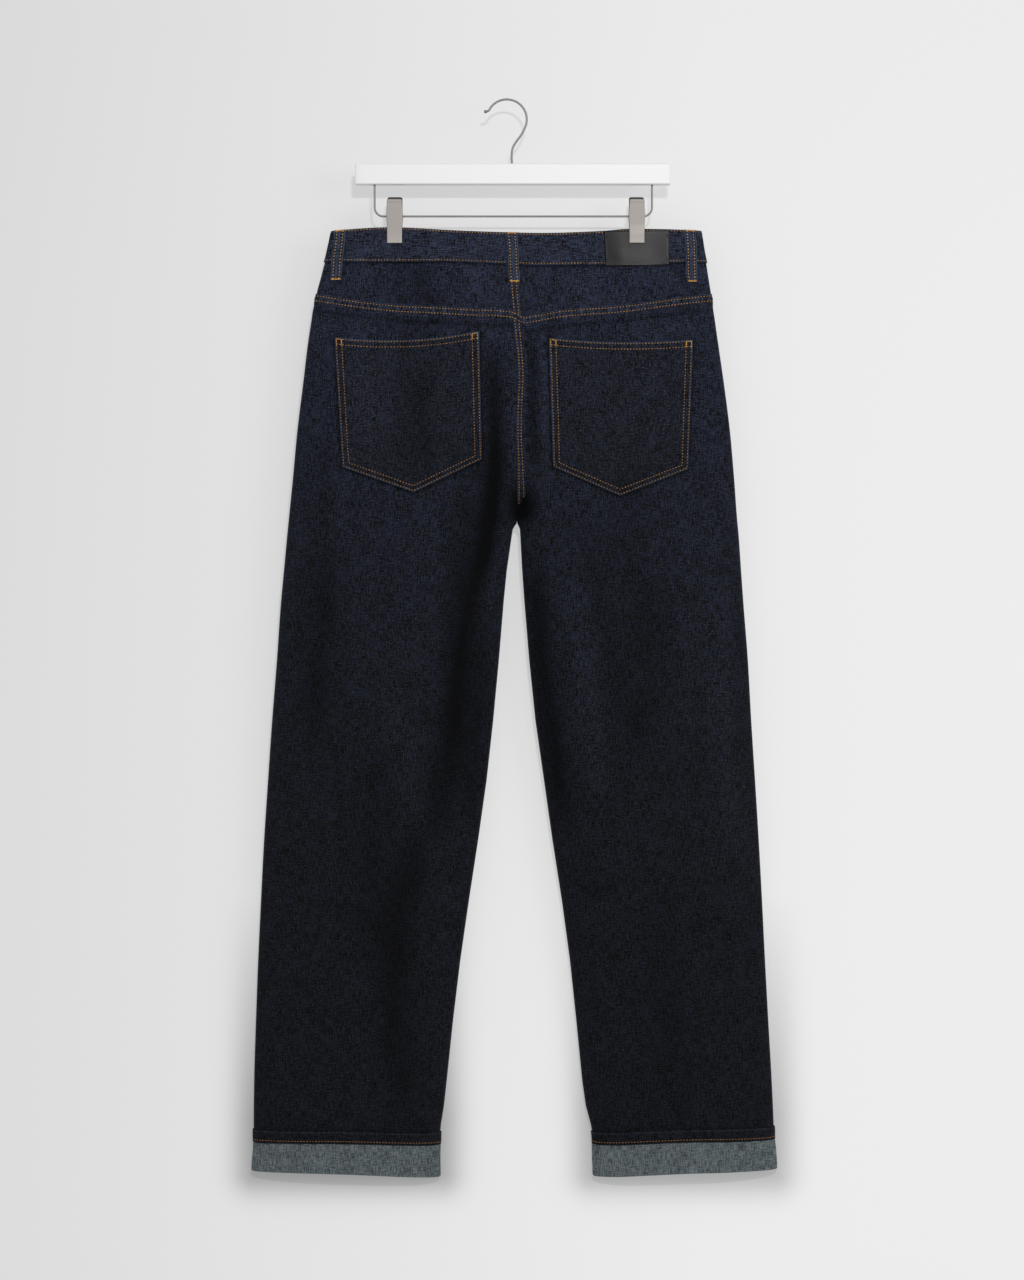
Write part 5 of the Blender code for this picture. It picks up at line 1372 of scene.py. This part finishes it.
def stitchTemplate():
    # A capsule of unit length, width and height lying on its row: points as (along, across, up).
    turn = np.arange(stitchSides) * 2 * math.pi / stitchSides
    points = [np.column_stack((np.full(stitchSides, at), size * np.cos(turn) / 2, size * np.sin(turn) / 2))
              for at, size in stitchRings]
    points = np.concatenate(points + [[(-0.5, 0, 0)], [(0.5, 0, 0)]])
    points[:, 2] -= stitchDip[0] * np.abs(points[:, 0] * 2) ** 3 - stitchDip[1]
    side = np.arange(stitchSides)
    after = (side + 1) % stitchSides
    quad = np.stack((side, after, after + stitchSides, side + stitchSides), -1)
    quads = np.concatenate([quad + stitchSides * ring for ring in range(len(stitchRings) - 1)])
    first, last = len(points) - 2, stitchSides * (len(stitchRings) - 1)
    tips = np.concatenate((np.stack((np.full(stitchSides, first), after, side), -1),
                           np.stack((np.full(stitchSides, first + 1), side + last, after + last), -1)))
    return points, quads, tips


def alongRow(points, normals, pitch):
    # Middles, directions and normals of evenly spaced stitches on a row.
    lengths = runLengths(points)
    count = max(1, int(lengths[-1] / pitch))
    at = (np.arange(count) + 0.5) * lengths[-1] / count
    reach = min(pitch, lengths[-1] / count) * 0.4
    place, before, beyond = (np.stack([np.interp(where, lengths, column) for column in points.T], -1)
                             for where in (at, at - reach, at + reach))
    normal = np.stack([np.interp(at, lengths, column) for column in normals.T], -1)
    ahead = unit(beyond - before)
    return place, ahead, unit(normal - np.sum(normal * ahead, axis=1, keepdims=True) * ahead)


def threadPiece(name, rows, size, finish, acrossRow=False):
    # All the stitches of a group as one mesh: the template set on each place of each row.
    template, quads, tips = stitchTemplate()
    sewnRows = (alongRow(*row, size["pitch"]) for row in rows)
    place, ahead, normal = (np.concatenate(part) for part in zip(*sewnRows))
    count = len(place)
    side = np.cross(normal, ahead)
    turn = np.full(count, math.pi / 2)
    if not acrossRow:
        turn = random.normal(size["slant"], threadJitter["slant"], count)
    turn = turn + random.normal(0, threadJitter["turn"], count)
    along = ahead * np.cos(turn)[:, None] + side * np.sin(turn)[:, None]
    across = np.cross(normal, along)
    stretch = random.normal(1, threadJitter["length"], (count, 1, 1))
    length, width, height = (template * [size["length"], size["width"], size["height"]]).T[:, None, :, None]
    points = (place[:, None] + along[:, None] * length * stretch + across[:, None] * width
              + normal[:, None] * height)
    step = (np.arange(count) * len(template))[:, None, None]
    drop = place[:, 2]
    # stitches darker further down the seat, but not at the hem
    darkened = threadDarkening["share"] * smooth((drop - threadDarkening["from"]) / threadDarkening["over"]) * (drop < threadDarkening["hem"])
    shade = np.repeat(random.random(count) * (1 - darkened), len(template))
    faces = ((quads + step).reshape(-1, 4), (tips + step).reshape(-1, 3))
    mesh = meshFrom(name, toSpace(points.reshape(-1, 3)), faces, attributes={"shade": shade})
    addPiece(name, mesh, (finish,))
    return count


fineStitch = {**stitch, "length": 2.4, "width": 1.05, "height": 0.6}
seatStitch = {**stitch, "length": 2.3, "width": 1.35}
hemStitch = {**stitch, "length": 3.1, "width": 0.95, "height": 0.6}
stitchesOf = {"pocket": (fineStitch, thread), "seat": (seatStitch, thread), "hem": (hemStitch, hemThread),
              "loops": (stitch, loopThread)}
total = 0
for group, rows in sewn.items():
    size, finish = stitchesOf.get(group.split("_")[0], (stitch, thread))
    total += threadPiece("stitching_" + group, rows, size, finish)
total += threadPiece("bar_tacks", tacks, tackStitch, tackThread, acrossRow=True)
print("stitches ready:", total)

# Leather patch.

patch = {
    "left": 103.0, "right": 175.6, "top": 0.2, "height": 38.6, "lift": 1.05, "columns": 50, "rows": 26,
    # Distance from the edge of its first rows and columns, and lift there.
    "edge": ((0.0, 0.45), (0.2, 0.85), (0.6, 1.12), (1.2, 1.25), (2.0, 1.3), (3.2, 1.3)),
    "tilt": (140.0, -0.0125),  # level at this x, and its slope
    "sag": (38.0, 1.6, 1.3, 73.0),  # height it grows over, depth, how much less, over what width
    "lowWave": (0.3, 11.0, 30.0),  # along its lower edge: height, length, drop it begins at
    "lean": (1.2, 120.0, 17.0),  # of its left edge: how far, from what x, over what width
    "swell": (0.35, 14.0, 13.0),  # height, lengths across and down
    "bulge": (0.5, 112.0, 9.0, 34.0, 8.0),  # height, x and half width, drop and half height
    "under": 0.4, "barRows": (6, 10), "barColumns": (4, -5),
}
steps = np.array([at for at, _ in patch["edge"]])
xs, ys = (np.concatenate((low + steps, np.linspace(low + steps[-1], high - steps[-1], count)[1:-1],
                          high - steps[::-1]))
          for low, high, count in ((patch["left"], patch["right"], patch["columns"]),
                                   (0.0, patch["height"], patch["rows"])))
x, drop = np.meshgrid(xs, ys + patch["top"])
grown, sag, lessSag, sagWidth = patch["sag"]
lower = smooth((drop - patch["top"]) / grown)
levelX, slope = patch["tilt"]
waveHeight, waveLength, waveStart = patch["lowWave"]
wave = waveHeight * np.sin(x / waveLength) * (drop > waveStart)
drop = drop + slope * (x - levelX) + lower * (sag - lessSag * (x - patch["left"]) / sagWidth) + wave
lean, leanStart, leanWidth = patch["lean"]
x = x + lean * (lower - 0.5) * np.clip((leanStart - x) / leanWidth, 0, 1)
distance = np.minimum(np.minimum(x - x[:, :1], x[:, -1:] - x), np.minimum(drop - drop[:1], drop[-1:] - drop))
swell, across, down = patch["swell"]
bulge, middleX, halfX, middleDrop, halfDrop = patch["bulge"]
wave = swell * np.sin(x / across + 1) * np.sin(drop / down)
wave += bulge * bell((x - middleX) / halfX) * bell((drop - middleDrop) / halfDrop)
outer, _ = onForm(x, drop, patch["lift"] + spread(patch["edge"], distance) + wave, "back")
inner, _ = onForm(x, drop, patch["lift"] - patch["under"], "back")
mesh = wallMesh("leather patch", outer, inner, True, flatMap(x, drop), {})
addPiece("leather_patch_hide", mesh, (leather, leather), ("leather_patch",))
normals = gridNormals(outer, "back")
near, far = patch["barRows"]
cornerBars = [(outer[rows, column], normals[rows, column])
              for rows in (slice(near, far), slice(-far, -near)) for column in patch["barColumns"]]
threadPiece("patch_tacks", cornerBars, tackStitch, patchThread, acrossRow=True)
print("patch ready")

# Hanger.

hanger = {
    "barSize": (356.0, 12.0, 23.4), "barX": 7.4, "barTop": -72.0, "barRound": 1.3, "barFlat": 0.6,
    "barStations": (-170, 170, 9), "barEndSteps": 6,
    "hookWire": 2.4, "hookRadius": 22.6, "hookCentre": (0.5, 1.2 - 22.6), "hookArc": (153, -28, 19),
    "tip": (-22.0, -12.4), "tipRun": (-21.2, -12.25), "ballFrom": (-20.9, -12.2), "ballRadius": 1.9,
    "ballSink": 0.4, "neck": ((17.2, -38.4), (13.2, -43.9), (9.7, -48.9), (7.4, -53.4)), "stemX": 6.3,
    "stemTop": -58.5, "hookStep": 1.1, "inBar": 0.1,
    "railWire": 2.2, "railBend": 10.0, "railLeft": -148.8, "railRight": 164.6, "railZ": -131.0,
    "railSteps": {"side": 12, "bend": 14, "low": 60}, "railStart": 12.0,
}


def wireMesh(name, path, radius, sides=16):
    # Round wire along a path in the XZ plane: each section is a circle square to the path.
    path = np.array(path, float)
    ahead = unit(np.gradient(path, axis=0))
    turn = np.arange(sides) * 2 * math.pi / sides
    out = np.column_stack((-ahead[:, 1], ahead[:, 0]))
    x, z = (path.T + radius * np.cos(turn)[:, None, None] * out.T).transpose(1, 0, 2)
    y = radius * np.sin(turn)[:, None] + 0 * x
    return tubeMesh(name, np.stack((x, y, z), -1) * mm, True)


stem = hanger["stemX"]
hookArc = arcPoints(hanger["hookCentre"], hanger["hookRadius"], *hanger["hookArc"])
hookPath = np.concatenate(((hanger["tip"], hanger["tipRun"]), hookArc, hanger["neck"],
                           ((stem, hanger["stemTop"]), (stem, hanger["barTop"] + hanger["inBar"]))))
hook = wireMesh("hook", smoothPath(hookPath, hanger["hookStep"]), hanger["hookWire"] / 2, 20)
addPiece("hook_wire", hook, (wireSteel,), ("hanger_hook",))
railSteps, bend = hanger["railSteps"], hanger["railBend"]
railTop, cornerZ = hanger["barTop"] - hanger["barSize"][2] + hanger["inBar"], hanger["railZ"] + bend
sideZ = np.linspace(railTop, cornerZ, railSteps["side"])
lowX = np.linspace(hanger["railLeft"] + hanger["railStart"], hanger["railRight"] - hanger["railStart"],
                   railSteps["low"])
railPath = np.concatenate((
    [(hanger["railLeft"], z) for z in sideZ[:-1]],
    arcPoints((hanger["railLeft"] + bend, cornerZ), bend, 180, 270, railSteps["bend"]),
    [(x, hanger["railZ"]) for x in lowX],
    arcPoints((hanger["railRight"] - bend, cornerZ), bend, 270, 360, railSteps["bend"]),
    [(hanger["railRight"], z) for z in sideZ[::-1][1:]]))
addPiece("rail_wire", wireMesh("rail", railPath, hanger["railWire"] / 2), (wireSteel,),
         ("hanger_rail",))


def barMesh():
    # Long bar: a rounded rectangle along X, drawn in over a quarter circle at each end.
    length, depth, height = hanger["barSize"]
    corner = hanger["barRound"]
    quarter = np.radians((0, 0, 18, 36, 54, 72, 90, 90))
    flat = hanger["barFlat"]  # a short straight run beside each corner
    along = np.tile((-flat, 0, 0, 0, 0, 0, 0, flat), 4)
    turn = np.concatenate([quarter + math.pi / 2 * k for k in range(4)])
    sign = np.repeat(((1, 1), (-1, 1), (-1, -1), (1, -1)), len(quarter), axis=0)
    endTurn = np.radians(np.linspace(0, 90, hanger["barEndSteps"]))
    drawn, inward = corner * (1 - np.sin(endTurn)), corner * (1 - np.cos(endTurn))
    middle = np.linspace(*hanger["barStations"])
    x = np.concatenate((inward - length / 2, middle, length / 2 - inward[::-1]))
    inset = np.concatenate((drawn, 0 * middle, drawn[::-1]))
    y = sign[:, :1] * (depth / 2 - corner) + (corner * np.cos(turn) - along * np.sin(turn))[:, None]
    z = sign[:, 1:] * (height / 2 - corner) + (corner * np.sin(turn) + along * np.cos(turn))[:, None]
    y, z = y * (1 - inset / (depth / 2)), z * (1 - inset / (height / 2))
    points = np.stack((hanger["barX"] + x + 0 * y, y, hanger["barTop"] - height / 2 + z), -1) * mm
    return tubeMesh("bar", points)


addPiece("bar_painted", barMesh(), (whitePaint,), ("hanger_bar",))


def turnedMesh(name, profile, place, steps=64):
    # Solid turned about an axis along +Y: profile of (radius, height) from its top to its foot.
    profile = np.array(profile, float)
    turn = np.arange(steps) * 2 * math.pi / steps
    ring = profile[1:-1]
    x = place[0] + ring[None, :, 0] * np.cos(turn)[:, None]
    y = place[1] + ring[None, :, 1] + 0 * x
    z = place[2] + ring[None, :, 0] * np.sin(turn)[:, None]
    poles = [(place[0], place[1] + height, place[2]) for height in (profile[0][1], profile[-1][1])]
    points = np.concatenate((np.stack((x, y, z), -1).reshape(-1, 3), poles))
    index = np.arange(steps * len(ring)).reshape(steps, len(ring))
    after = np.roll(index, -1, axis=0)
    top, foot = len(points) - 2, len(points) - 1
    tips = np.concatenate((np.stack((index[:, 0], after[:, 0], np.full(steps, top)), -1),
                           np.stack((after[:, -1], index[:, -1], np.full(steps, foot)), -1)))
    return meshFrom(name, points * mm, (gridQuads(steps, len(ring), wrapRows=True), tips))


ballAhead = unit(np.array(hanger["tip"]) - hanger["ballFrom"])
ballX, ballZ = hanger["tip"] + ballAhead * (hanger["ballRadius"] - hanger["ballSink"])
ball = turnedMesh("ball", arcPoints((0, 0), hanger["ballRadius"], 90, -90, 17), (ballX, 0, ballZ), 28)
addPiece("hook_ball", ball, (wireSteel,), ("hook_tip",))

jaw = {
    # Side view, from its gripping edge up: height, distance out of its inner face.
    "profile": ((0.0, 0.6), (0.5, 0.12), (1.4, 0.0), (6.0, 0.05), (12.0, 0.6), (20.0, 1.6), (30.0, 2.9),
                (40.0, 4.2), (46.0, 5.0)),
    "top": {"back": ((47.4, 5.3), (48.4, 5.1), (48.9, 4.3)),
            "front": ((49.4, 5.5), (52.8, 6.0), (54.2, 6.5))},
    "step": 0.6, "bottomZ": -161.8, "sheet": 1.0, "width": 17.0, "earWidth": 1.5, "earHeight": 8.0,
    "grip": 3.25, "overPatch": (1.7, 9.0, 13.0),  # stands off by the patch, up to a height, then fades
    "cornerRound": 2.2, "endThickness": (0.35, 0.75, 1.0), "roundSteps": 7, "flatSteps": 13,
    "shaded": (40.0, 6.0),  # its inner face lies in the dark above this height
}
spring = {"radius": 5.0, "wire": 1.5, "turns": 6.5, "length": 10.0, "steps": 260, "sides": 10}


def clipMiddle(side):
    # The x of a clip's middle.
    return form["centreX"] + form["clipX"][0 if side < 0 else 1]


def jawMesh(name, side, face):
    # Bent plate: a rounded strip section along the side view, a little wider at the rail.
    path = smoothPath(jaw["profile"] + jaw["top"][face], jaw["step"])
    height, out = path[:, 0], path[:, 1]
    rise = jaw["grip"] + out
    if side == 1 and face == "back":
        over, overHeight, overFade = jaw["overPatch"]
        rise = rise + over * (1 - smooth((height - overHeight) / overFade))
    ahead = unit(np.gradient(np.column_stack((height, rise)), axis=0))
    fromTop = np.arange(len(height))[::-1] * jaw["step"]
    corner = jaw["cornerRound"]
    corner = corner * (1 - np.sqrt(1 - (1 - fromTop / corner).clip(0) ** 2))
    ear = jaw["earWidth"] / 2 * bell((jaw["bottomZ"] + height - hanger["railZ"]) / jaw["earHeight"])
    half = jaw["width"] / 2 + ear - corner
    thick = jaw["sheet"] / 2
    quarter = np.radians(np.linspace(0, 180, jaw["roundSteps"]))
    flat = np.linspace(-1, 1, jaw["flatSteps"])[1:-1]
    across = np.concatenate((1 + 0 * quarter, -flat, -1 + 0 * quarter, flat))
    bulge = np.concatenate((np.sin(quarter), 0 * flat, -np.sin(quarter), 0 * flat)) * thick
    depth = np.concatenate((-np.cos(quarter), 1 + 0 * flat, np.cos(quarter), -1 + 0 * flat)) * thick
    fromEnd = np.minimum(np.arange(len(height)), np.arange(len(height))[::-1])
    rounded = np.array(jaw["endThickness"])[np.minimum(fromEnd, len(jaw["endThickness"]) - 1)]
    x = clipMiddle(side) + across[:, None] * (half - thick)[None, :] + bulge[:, None]
    n = depth[:, None] * rounded[None, :] + thick
    y = faceSign[face] * (rise[None, :] + n * ahead[None, :, 0])
    z = jaw["bottomZ"] + height[None, :] - n * ahead[None, :, 1]
    shadedFrom, shadedOver = jaw["shaded"]
    inner = (depth < 0)[:, None] * smooth((height - shadedFrom) / shadedOver)[None, :]
    return tubeMesh(name, np.stack((x, y, z), -1) * mm, face == "back", attributes={"shaded": inner})


def springMesh(name, side):
    # Coil about the rail wire: a circle carried along a helix about X.
    turn = np.linspace(0, spring["turns"] * 2 * math.pi, spring["steps"])
    along = np.linspace(-0.5, 0.5, len(turn)) * spring["length"]
    radial = np.column_stack((0 * turn, np.cos(turn), np.sin(turn)))
    axis = np.column_stack((clipMiddle(side) + along, 0 * turn, hanger["railZ"] + 0 * turn))
    path = radial * spring["radius"] + axis
    other = np.cross(unit(np.gradient(path, axis=0)), radial)
    ring = (np.arange(spring["sides"]) * 2 * math.pi / spring["sides"])[:, None, None]
    points = path[None] + spring["wire"] / 2 * (np.cos(ring) * radial + np.sin(ring) * other)
    return tubeMesh(name, points * mm, True)


for label, side in sideSign.items():
    clip = "clip_" + label + "_"
    for face in faceSign:
        addPiece(clip + face + "_jaw", jawMesh("jaw", side, face), (clipSteel,), (clip + face,))
    addPiece(clip + "coil", springMesh("coil", side), (wireSteel,), (clip + "spring",))

button = {
    "x": 6.0, "lift": 0.8,
    # Radius and height, from the middle of its face over the rim and down the shank.
    "profile": ((0, 5.0), (0.6, 5.0), (3.4, 4.9), (4.7, 4.7), (5.2, 4.95), (6.0, 5.2), (7.0, 5.15),
                (7.9, 4.75), (8.4, 4.1), (8.5, 3.5), (8.2, 2.9), (7.2, 2.6), (3.2, 2.4), (3.0, 0.0),
                (0.5, -0.2), (0, -0.2)),
}
buttonX = np.array(button["x"])
buttonDrop = float(frontEdgeDrop(buttonX) + frontSeamDrop(buttonX)) / 2
buttonFoot = gap + float(halfDepth(button["x"], buttonDrop, "front")) + button["lift"]
buttonPlace = (form["centreX"] + button["x"], buttonFoot, form["waistZ"] - buttonDrop)
buttonMesh = turnedMesh("button", button["profile"], buttonPlace)
addPiece("button_turned", buttonMesh, (antiqueMetal,), ("waist_button",))
print("hanger, clips and button ready")

# Wall, lights and camera.

stageLook = {
    "wallPlace": (0, 0.0395, 0), "wallTilt": 1.495, "wallColour": (0.39, 0.39, 0.39), "wallSize": 6.0,
    "wallGlow": 0.423,
    # The wall's painted glow grows to the right and downwards: places of start and end, shares there.
    "glowAcross": ((-0.62, 0.22), (0.865, 1.085)), "glowDown": ((-1.3, 0.1), (1.15, 1.0)),
    "contact": {"left": 0.46, "right": 0.38}, "contactReach": 0.0255, "contactDown": (-0.90, -1.15),
    "keyPlace": (0.33, -3.2, 0.60), "keySize": (0.28, 0.12), "keyPower": 40.0,
    "fillPlace": (2.3, -1.8, 0.1), "fillSize": 1.1, "fillPower": 12.0,
    "worldColour": (1.0, 1.0, 1.0), "worldStrength": 0.48, "aim": (0, 0, -0.6),
    "camera": (0.0064, -3.2, -0.6096), "lens": 79.65, "sensor": 36.0,
}


def contactShade(tree, place):
    # The wall is dimmer close round each turn-up, where the cloth keeps the room's light off it: e to the
    # minus square of the distance from the leg's foot.
    shade = 1.0
    low = (form["waistZ"] - outline["drop"][-1]) * mm
    below = mathNode(tree, "MAXIMUM", mathNode(tree, "SUBTRACT", low, place.outputs[2]), 0.0)
    start, end = stageLook["contactDown"]
    for leg in sideSign:
        ramp = mapRange(tree, place.outputs[2], start, end, 0.0, stageLook["contact"][leg])
        ends = [(form["centreX"] + outline[leg + edge][-1]) * mm for edge in ("Outer", "Inner")]
        across = mathNode(tree, "ABSOLUTE", mathNode(tree, "SUBTRACT", place.outputs[0], sum(ends) / 2))
        across = mathNode(tree, "SUBTRACT", across, abs(ends[0] - ends[1]) / 2)
        beside = mathNode(tree, "MAXIMUM", across, 0.0)
        squares = (mathNode(tree, "POWER", away, 2.0) for away in (beside, below))
        square = times(tree, plus(tree, *squares), -1 / stageLook["contactReach"] ** 2)
        near = times(tree, mathNode(tree, "EXPONENT", square), ramp)
        shade = times(tree, shade, mathNode(tree, "SUBTRACT", 1.0, near))
    return shade


def wallFinish():
    # Pale wall with a painted glow, brighter to the right and downwards, and a painted shadow round the
    # turn-ups; clear when seen from behind.
    made, tree, shader = newMaterial("pale wall", stageLook["wallColour"], 0.9)
    shader.inputs["Specular IOR Level"].default_value = 0.0
    place = addNode(tree, "SeparateXYZ", Vector=objectPlace(tree))
    shade = contactShade(tree, place)
    scaleColour(tree, shader, stageLook["wallColour"], shade)
    glow = times(tree, shade, stageLook["wallGlow"])
    for axis, key in ((0, "glowAcross"), (2, "glowDown")):
        places, shares = stageLook[key]
        glow = times(tree, mapRange(tree, place.outputs[axis], *places, *shares), glow)
    shader.inputs["Emission Color"].default_value = (1, 1, 1, 1)
    tree.links.new(glow, shader.inputs["Emission Strength"])
    behind = addNode(tree, "NewGeometry").outputs["Backfacing"]
    clear = addNode(tree, "BsdfTransparent")
    mixed = addNode(tree, "MixShader", i0=behind)
    tree.links.new(shader.outputs[0], mixed.inputs[1])
    tree.links.new(clear.outputs[0], mixed.inputs[2])
    tree.links.new(mixed.outputs[0], tree.nodes["Material Output"].inputs["Surface"])
    return made


def addWall():
    # A square turned to lean a little, its foot nearer the turn-ups than its head is to the hanger.
    half = stageLook["wallSize"] / 2
    lean = math.tan(math.radians(stageLook["wallTilt"]))
    (x, y, z), middleZ = stageLook["wallPlace"], stageLook["aim"][2]
    corners = [(x + across * half, y + lean * (up * half + middleZ), z + up * half + middleZ)
               for across, up in ((-1, -1), (1, -1), (1, 1), (-1, 1))]
    mesh = meshFrom("wall", corners, (((0, 1, 2, 3),),))
    mesh.materials.append(wallFinish())
    wall = bpy.data.objects.new("wall", mesh)
    bpy.context.scene.collection.objects.link(wall)


def addLight(name, place, settings):
    # Area light at a place, turned to the middle of what it lights.
    data = bpy.data.lights.new(name, "AREA")
    for key, value in settings.items():
        setattr(data, key, value)
    light = bpy.data.objects.new(name, data)
    light.location = place
    light.rotation_euler = (Vector(stageLook["aim"]) - Vector(place)).to_track_quat("-Z", "Y").to_euler()
    bpy.context.scene.collection.objects.link(light)


def setStage():
    # Wall, two lights, even surround and camera.
    scene = bpy.context.scene
    addWall()
    width, height = stageLook["keySize"]
    keyLook = {"energy": stageLook["keyPower"], "shape": "RECTANGLE", "size": width, "size_y": height}
    fillLook = {"energy": stageLook["fillPower"], "size": stageLook["fillSize"]}
    addLight("key", stageLook["keyPlace"], keyLook)
    addLight("fill", stageLook["fillPlace"], fillLook)
    world = bpy.data.worlds.new("studio")
    world.use_nodes = True
    world.node_tree.nodes["Background"].inputs["Color"].default_value = (*stageLook["worldColour"], 1)
    world.node_tree.nodes["Background"].inputs["Strength"].default_value = stageLook["worldStrength"]
    scene.world = world
    data = bpy.data.cameras.new("camera")
    data.lens, data.sensor_width, data.sensor_fit = stageLook["lens"], stageLook["sensor"], "AUTO"
    camera = bpy.data.objects.new("camera", data)
    camera.location = stageLook["camera"]
    camera.rotation_euler = (math.radians(90), 0, 0)
    scene.collection.objects.link(camera)
    scene.camera = camera
    scene.view_settings.view_transform = "Standard"
    scene.view_settings.look = "None"


setStage()
